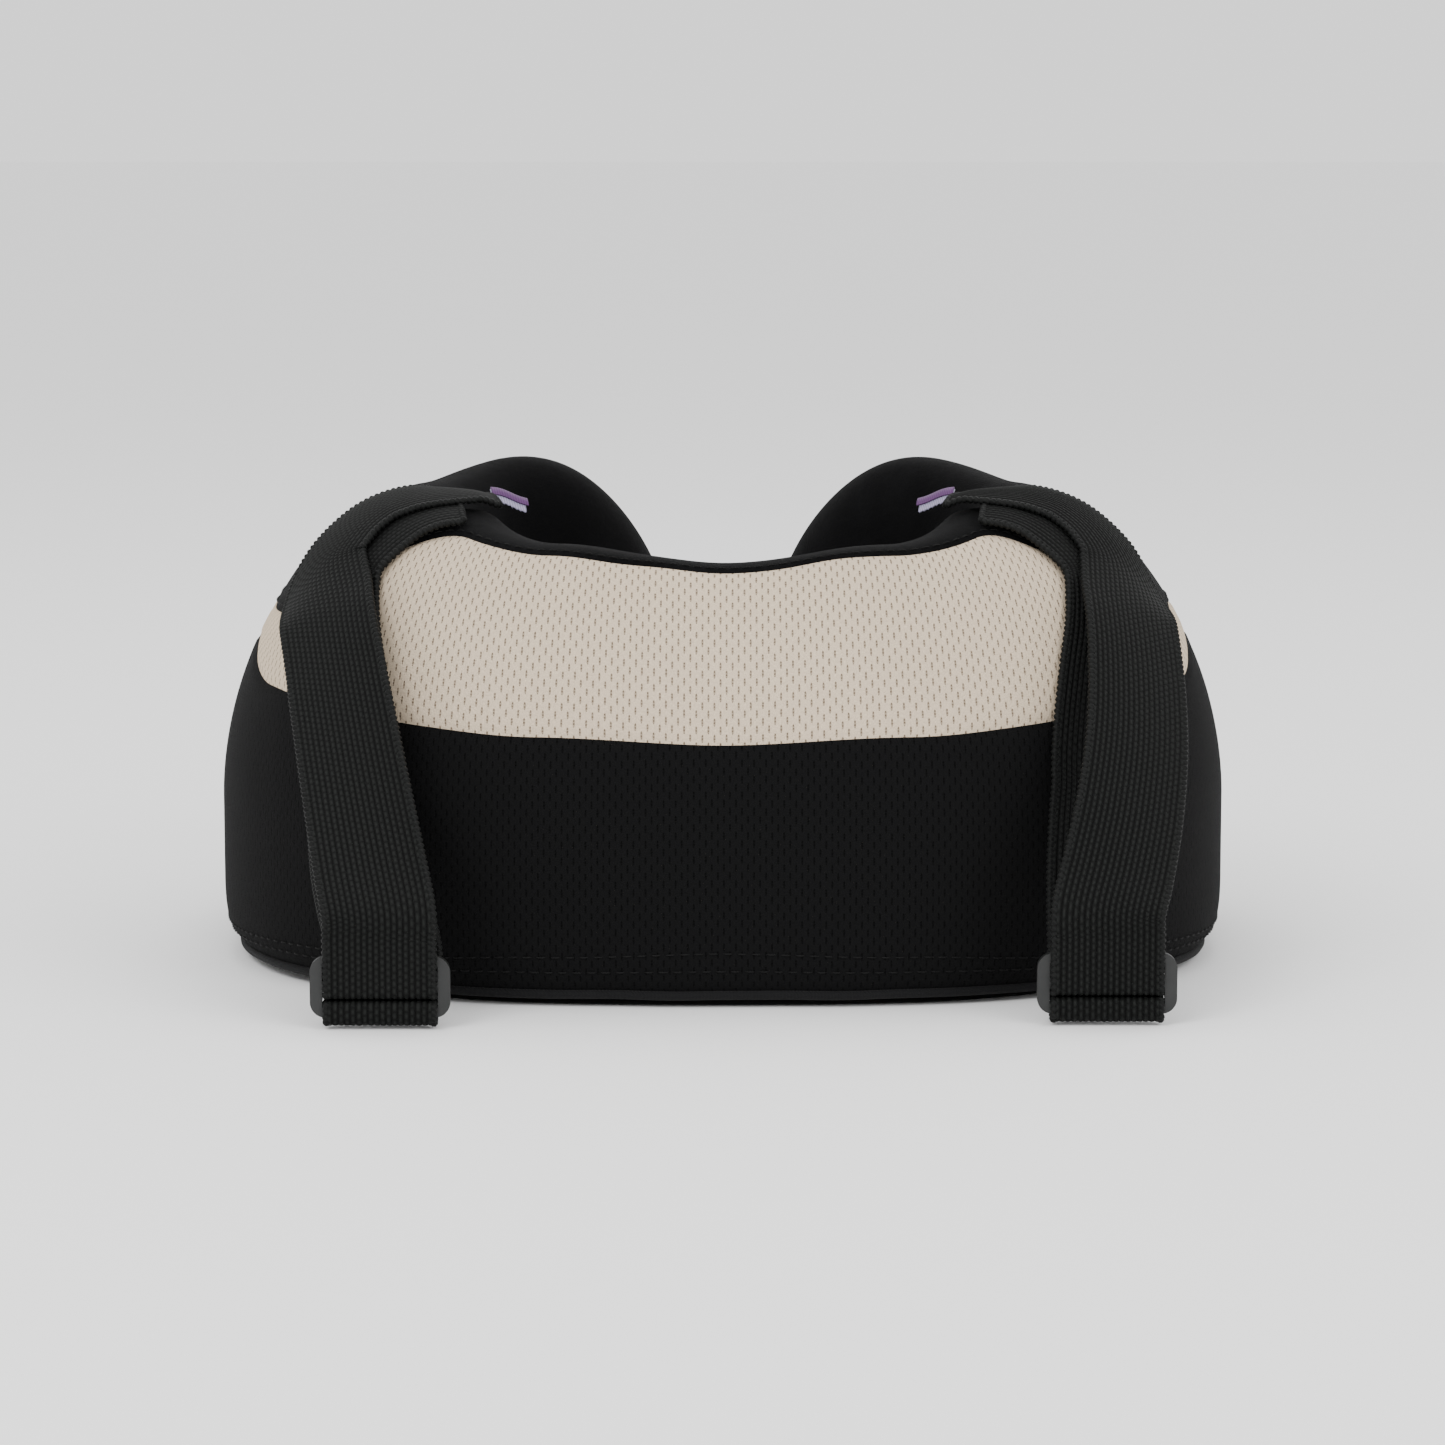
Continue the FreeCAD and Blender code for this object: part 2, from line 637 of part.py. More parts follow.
# motor, hung under the gearbox with its shaft up
can = cylinder("motor_body", "dims.motor_radius", "dims.motor_length")
put(can, "0", GEAR_Y, f"{HOUSING_LOW} - dims.motor_length")
holes = [put(cylinder("motor_bore", "dims.worm_shaft_radius + dims.running_clearance", "40"),
             "0", GEAR_Y, f"{HOUSING_LOW} - dims.motor_length + 3")]
screws = []
for sign in (-1, 1):
    x = f"{sign} * 8.5"
    pilot = cylinder(f"motor_pilot_{sign + 1}", "dims.screw_radius", "7")
    holes.append(put(pilot, x, GEAR_Y, f"{HOUSING_LOW} - 6"))
    head = cylinder(f"motor_head_{sign + 1}", "dims.screw_head_radius", "dims.screw_head_height")
    put(head, x, GEAR_Y, f"{HOUSING_LOW} + dims.housing_wall")
    shank = cylinder(f"motor_shank_{sign + 1}", "dims.screw_radius - 0.05", "8")
    put(shank, x, GEAR_Y, f"{HOUSING_LOW} + dims.housing_wall - 8")
    screws.append(fuse(f"motor_screw_{sign + 1}", [head, shank]))
sub_part(cut("motor", can, fuse("motor_holes", holes)), "motor_can")
cap = cylinder("motor_cap", "dims.motor_radius - 0.6", "dims.motor_cap_thickness")
cap_foot = f"{HOUSING_LOW} - dims.motor_length - dims.motor_cap_thickness"
sub_part(put(cap, "0", GEAR_Y, cap_foot), "motor_end_cap")
sub_part(group("motor_screw_set", screws), "motor_screws")

# ---------------------------------------------------------------- battery in the left arm
CELL_ROOM = 0.3
BATTERY_HALF_X = f"(2 * dims.cell_radius + 2 * {CELL_ROOM} + dims.battery_wall)"
BATTERY_HALF_Y = "(dims.cell_length / 2 + 0.5 + dims.battery_wall)"
BATTERY_HALF_Z = f"(dims.cell_radius + {CELL_ROOM} + dims.battery_wall)"
cells = []
for sign in (-1, 1):
    one = cylinder(f"cell_{sign + 1}", "dims.cell_radius", "dims.cell_length")
    x = f"dims.battery_x + {sign} * (dims.cell_radius + {CELL_ROOM / 2})"
    cells.append(put(one, x, "dims.battery_y - dims.cell_length / 2", "dims.battery_z", ALONG_Y))
sub_part(group("cell_pair", cells), "battery_cells")
LOW_X = f"dims.battery_x - {BATTERY_HALF_X}"
LOW_Y = f"dims.battery_y - {BATTERY_HALF_Y}"
LOW_Z = f"dims.battery_z - {BATTERY_HALF_Z}"
tray = box("tray_block", f"2 * {BATTERY_HALF_X}", f"2 * {BATTERY_HALF_Y}",
           f"2 * {BATTERY_HALF_Z} - dims.battery_wall")
put(tray, LOW_X, LOW_Y, LOW_Z)
room = box("tray_room", f"2 * ({BATTERY_HALF_X} - dims.battery_wall)",
           f"2 * ({BATTERY_HALF_Y} - dims.battery_wall)", "40")
put(room, f"{LOW_X} + dims.battery_wall", f"{LOW_Y} + dims.battery_wall", f"{LOW_Z} + dims.battery_wall")
sub_part(cut("battery_box", tray, room), "battery_tray")
lid = box("battery_cover", f"2 * {BATTERY_HALF_X}", f"2 * {BATTERY_HALF_Y}", "dims.battery_wall")
sub_part(put(lid, LOW_X, LOW_Y, f"dims.battery_z + {BATTERY_HALF_Z} - dims.battery_wall"), "battery_lid")

# ---------------------------------------------------------------- control pod on the right horn
POD = FreeCAD.Placement(Vec(cell("pod_x"), cell("pod_y"), cell("pod_z")),
                        FreeCAD.Rotation(Vec(0, 0, 1), cell("pod_angle")))


def pod_piece(obj, label):
    """Pod pieces are drawn with the bezel's front face on y = 0, then carried to the horn."""
    obj.Placement = POD
    return sub_part(obj, label)


def pod_box(name, x, y, z, length, width, height):
    """Box centred on x and z, starting at y."""
    return put(box(name, length, width, height), f"({x}) - ({length}) / 2", y, f"({z}) - ({height}) / 2")


def pod_disc(name, x, y, radius, height):
    return put(cylinder(name, radius, height), x, y, "0", ALONG_Y)


bezel = pod_box("bezel_plate", "0", "-dims.bezel_thickness", "0", "dims.pod_width + 2 * dims.bezel_lip",
                "dims.bezel_thickness", "dims.pod_tall + 2 * dims.bezel_lip")
rounded = doc.addObject("Part::Fillet", "bezel_rounded")
rounded.Base = bezel
doc.recompute()
upright = [i + 1 for i, e in enumerate(bezel.Shape.Edges)
           if abs(e.tangentAt(e.FirstParameter).y) > 0.99]
rounded.Edges = [(i, 4.0, 4.0) for i in upright]
openings = []
BUTTONS = ("power", "mode", "direction")
for index, name in enumerate(BUTTONS):
    x = f"dims.button_first_x + {index} * dims.button_pitch"
    openings.append(pod_disc(f"{name}_opening", x, "-5", "dims.button_radius + dims.button_gap", "9"))
openings.append(pod_disc("lens_opening", "dims.lens_x", "-5", "1.6", "9"))
openings.append(pod_box("socket_opening", "dims.socket_x", "-5", "0", "9.6", "9", "4"))
pod_piece(cut("pod_bezel", rounded, fuse("bezel_openings", openings)), "control_bezel")

case = pod_box("pod_block", "0", "-dims.pod_depth", "0", "dims.pod_width",
               "dims.pod_depth - dims.bezel_thickness", "dims.pod_tall")
inside = pod_box("pod_room", "0", "dims.pod_wall - dims.pod_depth", "0", "dims.pod_width - 2 * dims.pod_wall",
                 "20", "dims.pod_tall - 2 * dims.pod_wall")
pod_piece(cut("pod_case", case, inside), "control_housing")
board = pod_box("board_plate", "0", "-9.6", "0", "dims.pod_width - 5", "1.6", "13")
pod_piece(group("pod_board", [board]), "control_board")
switches = []
for index, name in enumerate(BUTTONS):
    x = f"dims.button_first_x + {index} * dims.button_pitch"
    switches.append(pod_box(f"{name}_switch", x, "-8", "0", "6", "3.2", "6"))
    cap = pod_disc(f"{name}_cap", x, "-2.4", "dims.button_radius", "dims.button_rise + 2.4")
    flange = pod_disc(f"{name}_flange", x, "-3.2", "dims.button_radius + 1", "0.8")
    stem = pod_disc(f"{name}_stem", x, "-3.8", "1.6", "0.8")
    pod_piece(fuse(f"{name}_button", [cap, flange, stem]), f"button_{name}")
pod_piece(group("switch_set", switches), "tact_switches")
metal = pod_box("socket_shell", "dims.socket_x", "-7.9", "0", "9", "7.6", "3.4")
slot = pod_box("socket_slot", "dims.socket_x", "-7.2", "0", "8.3", "9", "2.7")
tongue = pod_box("socket_tongue", "dims.socket_x", "-7.4", "0", "6.4", "5.6", "0.7")
pod_piece(fuse("socket", [cut("socket_can", metal, slot), tongue]), "charge_socket")
pod_piece(group("lens", [pod_disc("lens_rod", "dims.lens_x", "-7.9", "1.5", "8.1")]), "status_lens")

# ---------------------------------------------------------------- leads inside the foam
def lead_route(points):
    """Straight runs joined by tangent arcs."""
    places = [Vec(*p) for p in points]
    edges, start = [], places[0]
    for before, corner, after in zip(places, places[1:], places[2:]):
        run_in, run_out = corner - before, after - corner
        turn = run_in.getAngle(run_out)
        share = 0.45 * min(run_in.Length, run_out.Length)
        first = corner - run_in.normalize() * share
        last = corner + run_out.normalize() * share
        middle_way = (first + last) * 0.5 - corner
        radius = share / math.tan(turn / 2)
        print("lead arc radius", round(radius, 1))
        reach = radius / math.cos(turn / 2) - radius
        middle = corner + middle_way.normalize() * reach
        edges.append(Part.makeLine(start, first))
        edges.append(Part.Arc(first, middle, last).toShape())
        start = last
    edges.append(Part.makeLine(start, places[-1]))
    return Part.Wire(edges)


def lead(points, radius):
    wire = lead_route(points)
    way = Vec(*points[1]) - Vec(*points[0])
    ring = Part.Wire(Part.makeCircle(radius, Vec(*points[0]), way))
    solid = wire.makePipeShell([ring], True, True)
    expected = math.pi * radius ** 2 * wire.Length
    print("lead volume over section times length", round(solid.Volume / expected, 4))
    return solid


BATTERY_ROUTE = [(-114, 1.0, 58), (-112, -24, 46), (-98, -50, 30), (-66, -65, 21), (-24, -66, 18),
                 (24, -66, 19), (66, -65, 22), (98, -50, 31), (113, -20, 42), (117, 18, 50),
                 (112, 56, 55), (96, 88, 58), (69, 105, 60), (68.6, 131.2, 60)]
MOTOR_ROUTE = [(7.6, -70.6, 14), (18, -60, 12.5), (46, -57, 14), (78, -50, 20), (99, -30, 30), (107, 2, 40),
               (105, 38, 46), (95, 68, 50), (78, 94, 54), (79.6, 126.8, 57)]
sub_part(fixed_shape("battery_lead_tube", lead(BATTERY_ROUTE, cell("battery_lead_radius"))), "battery_lead")
sub_part(fixed_shape("motor_lead_tube", lead(MOTOR_ROUTE, cell("motor_lead_radius"))), "motor_lead")

# ---------------------------------------------------------------- strap loops
WIDTH = cell("webbing_width")
THICK = cell("webbing_thickness")
STRAP_SIDES = {
    # side: (mirror, how far the loop's foot stands out in x, and in y behind the centre, outward bow)
    "left": (-1, 97.5, 146.5, 0.0),
    "right": (1, 110.0, 140.5, 5.5),
}
GLIDE_FOOT = 3.4         # height of the glide's lowest bar
GLIDE_TALL = 17.6
GLIDE_SLOTS = (2.9, 10.3)    # slot floors above the glide's foot
GLIDE_CORNER = 4.5
OUTER_GAP = 6.0          # free webbing between the sewn end and the rigid loop, at the front run
INNER_GAP = 6.0          # the same at the back run


def tangent(distance):
    (_, _), (nx, ny) = line_frame(distance)
    return Vec(-ny, nx, 0)


# Webbing laid on the cushion, for the right side: (distance along the U, section angle, stand-off).
OUTER_TOP = [(91, 101, 3.3), (98, 95, 3.5), (105, 89, 3.6), (113, 80, 3.7), (117, 71, 3.9), (117, 61, 4.1)]
OUTER_HINGE = (114, 52, 4.5)
INNER_TOP = [(89, 87, 1.2), (96, 81, 1.2), (103, 73, 1.2), (107.5, 63, 1.2), (109, 55, 1.4)]
INNER_HINGE = (107, 48, 1.6)
INNER_BACK = [(102, 39, 1.9), (97, 30, 2.2), (93, 20, 3.0), (90.5, 10, 5.0)]
# The free front run: (share of the way down to the glide, plan angle of its width).
FRONT_RUN = [(0.13, 42), (0.30, 34), (0.50, 27), (0.70, 19), (0.87, 9)]
FRONT_RUN_BOW = 0.72
DRAPE = 0.0075           # how much the webbing curls over the cushion: edge drop over half width squared
SMOOTHING = 4            # rows put in for each row given
OUTER_FIXED = 3          # smoothed rows past the hinge stations that stay with the sewn end
INNER_FIXED = 1          # and with the seam end
STRIPS = 4               # flat strips across the webbing that follow that curl


def outward(distance, angle):
    """Direction straight out of the cushion's surface."""
    along = cushion_point(distance + 1, angle) - cushion_point(distance - 1, angle)
    around = cushion_point(distance, angle + 1) - cushion_point(distance, angle - 1)
    return along.cross(around).normalize()


def laid(stations_on_cushion):
    """Rows (centre point, width direction, curl) for webbing that lies on or near the cushion."""
    places = [cushion_point(distance, angle, 0.0, stand_off)
              for distance, angle, stand_off in stations_on_cushion]
    rows = []
    for i, (distance, angle, _) in enumerate(stations_on_cushion):
        ahead = places[min(i + 1, len(places) - 1)] - places[max(i - 1, 0)]
        rows.append((places[i], outward(distance, angle).cross(ahead).normalize(), DRAPE))
    return rows


def foot_rows(foot_x, foot_y):
    """The webbing's way through the glide: down in front, a tuck into the lower slot, round the last bar."""
    steps = [(-4.2, 34.0), (-3.0, 26.0), (-2.6, 20.5), (-2.5, 17.0), (-2.45, 13.8), (-2.45, 11.6),
             (-2.3, 10.3), (-1.9, 9.75), (-1.2, 9.55), (0, 9.6), (1.2, 9.55), (2.1, 9.2), (2.35, 8.5),
             (2.1, 7.8), (1.2, 7.45), (0, 7.4), (-1.2, 7.45), (-1.95, 7.2), (-2.35, 6.6), (-2.45, 5.2),
             (-2.3, 3.2), (-1.1, 1.9), (0.3, 1.85), (1.7, 2.2), (3.2, 3.9), (5.6, 8.5), (8.8, 15.0),
             (13.6, 23.0)]
    return [(Vec(foot_x, y - foot_y, z), Vec(1, 0, 0), 0.0) for y, z in steps]


def front_run(start, end, bow):
    """Free webbing between the shoulder and the glide, bowed away from the cushion."""
    rows = []
    for share, plan_angle in FRONT_RUN:
        across = Vec(math.cos(math.radians(plan_angle)), math.sin(math.radians(plan_angle)), 0)
        place = Vec(start.x + (end.x - start.x) * share + bow * math.sin(math.pi * share),
                    start.y + (end.y - start.y) * share ** FRONT_RUN_BOW,
                    start.z + (end.z - start.z) * share)
        rows.append((place, across, 0.0))
    return rows


def smooth_rows(rows, per=SMOOTHING):
    """Catmull-Rom through the rows, for points, width directions and curl alike."""
    out = []
    for i in range(len(rows) - 1):
        quad = [rows[max(i - 1, 0)], rows[i], rows[i + 1], rows[min(i + 2, len(rows) - 1)]]
        for j in range(per if i < len(rows) - 2 else per + 1):
            u = j / per
            weights = (-u + 2 * u ** 2 - u ** 3, 2 - 5 * u ** 2 + 3 * u ** 3,
                       u + 4 * u ** 2 - 3 * u ** 3, -u ** 2 + u ** 3)
            place, width, curl = Vec(), Vec(), 0.0
            for (a, b, c), weight in zip(quad, weights):
                place += a * (weight / 2)
                width += b * (weight / 2)
                curl += c * (weight / 2)
            out.append((place, width, curl))
    return out


def direction_ahead(rows, i):
    return (rows[min(i + 1, len(rows) - 1)][0] - rows[max(i - 1, 0)][0]).normalize()


def width_direction(rows, i):
    """The row's width direction, made square to the way the webbing runs there."""
    ahead = direction_ahead(rows, i)
    across = rows[i][1]
    return (across - ahead * across.dot(ahead)).normalize()


def ribbon(rows, width=WIDTH, thickness=THICK, mirror=1):
    """Solid webbing along the rows: a thin section, curled over the cushion, carried from row to row."""
    shares = [i / STRIPS - 0.5 for i in range(STRIPS + 1)]
    outline = [(a, 0.5) for a in shares] + [(a, -0.5) for a in reversed(shares)] + [(shares[0], 0.5)]
    rings = []
    for i, (place, _, curl) in enumerate(rows):
        side = width_direction(rows, i)
        face = direction_ahead(rows, i).cross(side)
        corners = [place + side * (a * width) + face * (b * thickness - curl * (a * width) ** 2)
                   for a, b in outline]
        rings.append(Part.makePolygon([Vec(mirror * c.x, c.y, c.z) for c in corners]))
    return Part.makeLoft(rings, True, True)


def shortened(rows, length):
    """Takes a length off the first end of the rows."""
    while (rows[1][0] - rows[0][0]).Length < length:
        length -= (rows[1][0] - rows[0][0]).Length
        rows = rows[1:]
    share = length / (rows[1][0] - rows[0][0]).Length
    cut_row = tuple(a + (b - a) * share for a, b in zip(rows[0], rows[1]))
    return [cut_row] + rows[1:]


def trimmed(rows, first, last):
    rows = shortened(list(rows), first)
    return shortened(rows[::-1], last)[::-1]


def strap_rows(foot_x, foot_y, bow):
    """All rows of one strap from its sewn end to its seam end, and the two rows where it swings."""
    outer = laid(OUTER_TOP + [OUTER_HINGE])
    inner = laid(INNER_TOP + [INNER_HINGE] + INNER_BACK)
    foot = foot_rows(foot_x, foot_y)
    run = front_run(outer[-1][0], foot[0][0], bow)
    back = [(place, across, -curl) for place, across, curl in reversed(inner)]
    rows = outer + run + foot + back
    outer_end = len(OUTER_TOP) * SMOOTHING + OUTER_FIXED
    inner_end = (len(rows) - 1 - len(INNER_TOP)) * SMOOTHING - INNER_FIXED
    return smooth_rows(rows), outer_end, inner_end


def strap_pieces(side):
    mirror, foot_x, foot_y, bow = STRAP_SIDES[side]
    rows, outer_end, inner_end = strap_rows(foot_x, foot_y, bow)
    pieces = {"sewn_end": rows[:outer_end + 1],
              "loop": trimmed(rows[outer_end:inner_end + 1], OUTER_GAP, INNER_GAP),
              "seam_end": rows[inner_end:]}
    for name, piece_rows in pieces.items():
        shape = ribbon(piece_rows, mirror=mirror)
        sub_part(fixed_shape(f"webbing_{name}_{side}", shape), f"strap_{name}_{side}")


def strap_glide(side):
    """Moulded frame with two slots and a middle bar."""
    mirror, foot_x, foot_y, _ = STRAP_SIDES[side]
    name = f"strap_glide_{side}"
    frame = box(name + "_frame", "dims.glide_width", "dims.glide_thickness", str(GLIDE_TALL))
    put(frame, f"{mirror * foot_x} - dims.glide_width / 2", f"{-foot_y} - dims.glide_thickness / 2",
        str(GLIDE_FOOT))
    soft = doc.addObject("Part::Fillet", name + "_rounded")
    soft.Base = frame
    doc.recompute()
    edges = [i + 1 for i, e in enumerate(frame.Shape.Edges) if abs(e.tangentAt(e.FirstParameter).y) > 0.99]
    soft.Edges = [(i, GLIDE_CORNER, GLIDE_CORNER) for i in edges]
    slots = []
    through = "3 * dims.glide_thickness"
    for index, low in enumerate(GLIDE_SLOTS):
        slot = box(f"{name}_slot_{index}", "dims.webbing_width + 1", through, "dims.glide_slot")
        slots.append(put(slot, f"{mirror * foot_x} - dims.webbing_width / 2 - 0.5",
                         f"{-foot_y} - {through} / 2", f"{GLIDE_FOOT} + {low}"))
    return sub_part(cut(name, soft, fuse(name + "_slots", slots)), name)


def strap_tag(side):
    """Small folded label that stands out beside the strap's sewn end."""
    mirror = STRAP_SIDES[side][0]
    (place, across, _), (further, _, _) = laid(OUTER_TOP[:2])
    inwards = (place - further).normalize()
    rows = [(place + inwards * reach + Vec(0, 0, rise), across, 0.0)
            for reach, rise in ((0.5, -0.6), (4.0, 0.2), (8.0, 0.0), (11.5, -1.4))]
    shape = ribbon(smooth_rows(rows), cell("tag_width"), cell("tag_thickness"), mirror)
    return sub_part(fixed_shape(f"tag_{side}", shape), f"strap_tag_{side}")


for side in STRAP_SIDES:
    strap_pieces(side)
    strap_glide(side)
    strap_tag(side)


def swing_line(side):
    """A point and a direction on the line that a strap's loop swings about."""
    mirror, foot_x, foot_y, bow = STRAP_SIDES[side]
    rows, outer_end, inner_end = strap_rows(foot_x, foot_y, bow)
    loop = trimmed(rows[outer_end:inner_end + 1], OUTER_GAP / 2, INNER_GAP / 2)
    point = (loop[0][0] + loop[-1][0]) / 2
    axis = (width_direction(loop, 0) + width_direction(loop, len(loop) - 1)).normalize()
    return Vec(mirror * point.x, point.y, point.z), Vec(mirror * axis.x, axis.y, axis.z)


for side in STRAP_SIDES:
    point, axis = swing_line(side)
    print(side, "strap swing line", [round(v, 2) for v in point], [round(v, 4) for v in axis])

# ---------------------------------------------------------------- zip under the nape
ZIP_SLOT = 0.3
chain = box("zip_chain", "dims.zip_length", "dims.zip_width", "dims.zip_thickness")
sub_part(put(chain, "-dims.zip_length / 2", "dims.zip_offset_y - dims.zip_width / 2", "1.2"), "zip_chain")
runner = box("zip_runner", "8", "dims.zip_width - 0.4", "0.6")
put(runner, "-dims.zip_pull_travel / 2 - 4", "dims.zip_offset_y - dims.zip_width / 2 + 0.2", "0.3")
pull = box("zip_pull", "10", "3.4", "0.5")
put(pull, "-dims.zip_pull_travel / 2 + 3.5", "dims.zip_offset_y - 1.7", "0.35")
sub_part(fuse("zip_slider_body", [runner, pull]), "zip_slider")

# ---------------------------------------------------------------- foam core and cover
def plain_box(low, high):
    return Part.makeBox(*[b - a for a, b in zip(low, high)], Vec(*low))


GAP = cell("foam_gap")
HALF_W, HALF_H = cell("housing_half_width") + 0.6, cell("housing_half_height") + 0.6
BACK_Y, MID_Z = cell("housing_back_y") - 0.6, cell("unit_height")
unit_room = plain_box((-HALF_W, BACK_Y, MID_Z - HALF_H), (HALF_W, -25, MID_Z + HALF_H))
motor_room = Part.makeCylinder(cell("motor_radius") + 0.6, 32, Vec(0, cell("gear_plane_y"), 5.2))
battery_shapes = [o.Shape for o in SUB_PARTS if o.Label in ("battery_tray", "battery_lid")]
battery_bounds = Part.makeCompound(battery_shapes).BoundBox
battery_room = plain_box((battery_bounds.XMin - 0.4, battery_bounds.YMin - 0.4, battery_bounds.ZMin - 0.4),
                         (battery_bounds.XMax + 0.4, battery_bounds.YMax + 0.4, battery_bounds.ZMax + 0.4))
POD_W, POD_T = cell("pod_width"), cell("pod_tall")
pod_room = plain_box((-POD_W / 2 - 0.5, -cell("pod_depth") - 0.5, -POD_T / 2 - 0.5),
                     (POD_W / 2 + 0.5, 12, POD_T / 2 + 0.5))
LIP = cell("bezel_lip") + 0.3
bezel_room = plain_box((-POD_W / 2 - LIP, -cell("bezel_thickness") - 0.3, -POD_T / 2 - LIP),
                       (POD_W / 2 + LIP, 12, POD_T / 2 + LIP))
for room_shape in (pod_room, bezel_room):
    room_shape.Placement = POD
ZIP_X = cell("zip_length") / 2 + ZIP_SLOT
ZIP_HALF = cell("zip_width") / 2 + ZIP_SLOT
ZIP_Y = cell("zip_offset_y")
zip_room = plain_box((-ZIP_X, ZIP_Y - ZIP_HALF, -1), (ZIP_X, ZIP_Y + ZIP_HALF, 3.2))
channel = cell("lead_channel_radius")
channels = [lead(BATTERY_ROUTE, channel), lead(MOTOR_ROUTE, channel)]

core = padded_core(COVER + GAP, cell("base_panel_thickness") + GAP)
for room_shape in [unit_room, motor_room, battery_room, pod_room, bezel_room, zip_room] + channels:
    core = core.cut(room_shape)
solids = sorted(core.Solids, key=lambda solid: solid.Volume)
print("foam core solids", [round(solid.Volume) for solid in solids])
sub_part(fixed_shape("core", solids[-1]), "foam_core")

window_room = plain_box((-56, -75, 38), (56, -20, 99))
top_skin = cover_strip(top_seam, inner_base, 31)
sub_part(fixed_shape("top_panel", top_skin.cut(window_room)), "cover_top_panel")
sub_part(fixed_shape("neck_window", top_skin.common(window_room)), "cover_neck_window")
upper_skin = cover_strip(mid_seam, top_seam, 9)
sub_part(fixed_shape("upper_panel", upper_skin.cut(bezel_room).cut(pod_room)), "cover_upper_back_panel")
lower_skin = cover_strip(outer_base, mid_seam, 17)
sub_part(fixed_shape("lower_panel", lower_skin.cut(bezel_room).cut(pod_room)), "cover_lower_back_panel")
base_skin = base_plate(cell("base_panel_thickness")).cut(zip_room)
sub_part(fixed_shape("base_panel", base_skin), "cover_base_panel")


def seam_piping():
    """Piping sewn along the lower edge of the back panel, just clear of the table."""
    radius = cell("piping_radius")
    clear = 0.6
    wires = []
    for d in stations(6.0):
        centre = cushion_point(d, PIPING_ANGLE, 0.0, radius + clear)
        wires.append(Part.Wire(Part.makeCircle(radius, centre, tangent(d))))
    return Part.makeLoft(wires, True, True)


sub_part(fixed_shape("piping", seam_piping()), "base_piping")

# ---------------------------------------------------------------- checks and files
doc.recompute()
failed = [o.Name for o in doc.Objects if "Invalid" in o.State or "Error" in o.State]
if failed:
    raise RuntimeError(f"objects failed to recompute: {failed}")
for piece in SUB_PARTS:
    if piece.Shape.isNull() or not piece.Shape.isValid() or not piece.Shape.Solids:
        raise RuntimeError(f"{piece.Label} has no valid solid")
whole = Part.makeCompound([piece.Shape for piece in SUB_PARTS]).BoundBox
print("pieces", len(SUB_PARTS), "size", [round(v, 2) for v in (
    whole.XMin, whole.XMax, whole.YMin, whole.YMax, whole.ZMin, whole.ZMax)])
for piece in SUB_PARTS:
    piece.Shape.exportStep(os.path.join("parts", piece.Label + ".step"))
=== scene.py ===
"""Looks of the shiatsu neck massager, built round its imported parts.

Metres, in the parts' own frame: +Z up, the nape towards -Y, the open ends of the horns towards +Y.
The cushion's surface is worked out in millimetres and turned into metres when a mesh is made.
"""
import json
import math

import bmesh
import bpy
import numpy as np
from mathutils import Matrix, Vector
from mathutils.kdtree import KDTree


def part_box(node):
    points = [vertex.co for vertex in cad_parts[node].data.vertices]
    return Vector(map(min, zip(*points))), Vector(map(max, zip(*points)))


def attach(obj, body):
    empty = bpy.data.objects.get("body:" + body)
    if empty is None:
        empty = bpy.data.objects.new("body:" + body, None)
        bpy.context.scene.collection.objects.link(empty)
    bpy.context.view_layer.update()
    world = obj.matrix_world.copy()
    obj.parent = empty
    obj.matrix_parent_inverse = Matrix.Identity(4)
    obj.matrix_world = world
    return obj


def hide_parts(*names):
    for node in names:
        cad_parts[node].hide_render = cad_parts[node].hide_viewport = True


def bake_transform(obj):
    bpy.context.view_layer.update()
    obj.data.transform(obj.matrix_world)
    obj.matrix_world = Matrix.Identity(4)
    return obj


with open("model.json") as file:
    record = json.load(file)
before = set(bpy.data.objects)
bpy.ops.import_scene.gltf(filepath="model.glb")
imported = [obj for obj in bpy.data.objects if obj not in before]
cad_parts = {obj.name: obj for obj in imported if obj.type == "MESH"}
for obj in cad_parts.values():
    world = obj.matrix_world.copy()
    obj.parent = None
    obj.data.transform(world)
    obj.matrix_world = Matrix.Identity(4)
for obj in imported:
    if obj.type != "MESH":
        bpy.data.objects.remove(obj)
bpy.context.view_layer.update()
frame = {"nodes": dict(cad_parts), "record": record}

MM = 0.001
SIDES = ("left", "right")

# ---------------------------------------------------------------- the cushion's surface, in millimetres
HALF_X, HALF_Y, SHIFT_Y = 117.6, 100.0, 16.0
BACK_EXPONENT, FRONT_EXPONENT = 2.9, 2.5
HORN_GAP_HALF = 12.0
TIP_LENGTH, TIP_EXPONENT, TIP_HEIGHT = 66.0, 2.4, 55.0
LOWER_CENTRE, LOWER_DROP, LOWER_EXPONENT = 26.0, 29.0, 4.0
BASE_ANGLE = -math.degrees(math.asin((LOWER_CENTRE / LOWER_DROP) ** (LOWER_EXPONENT / 2)))
PIPING_ANGLE = BASE_ANGLE + 16


def signed_power(value, power):
    return np.sign(value) * np.abs(value) ** power


def trace_centreline(steps=2000):
    """The right half of the U in plan, and the distance along it."""
    theta = np.radians(np.linspace(-90, 90, steps + 1))
    c, s = np.cos(theta), np.sin(theta)
    exponent = np.where(s < 0, BACK_EXPONENT, FRONT_EXPONENT)
    x = HALF_X * signed_power(c, 2 / exponent)
    y = HALF_Y * signed_power(s, 2 / exponent)
    end = np.where((y > 0) & (x < HORN_GAP_HALF))[0][0]
    x, y = x[:end], y[:end]
    return x, y, np.concatenate([[0], np.cumsum(np.hypot(np.diff(x), np.diff(y)))])


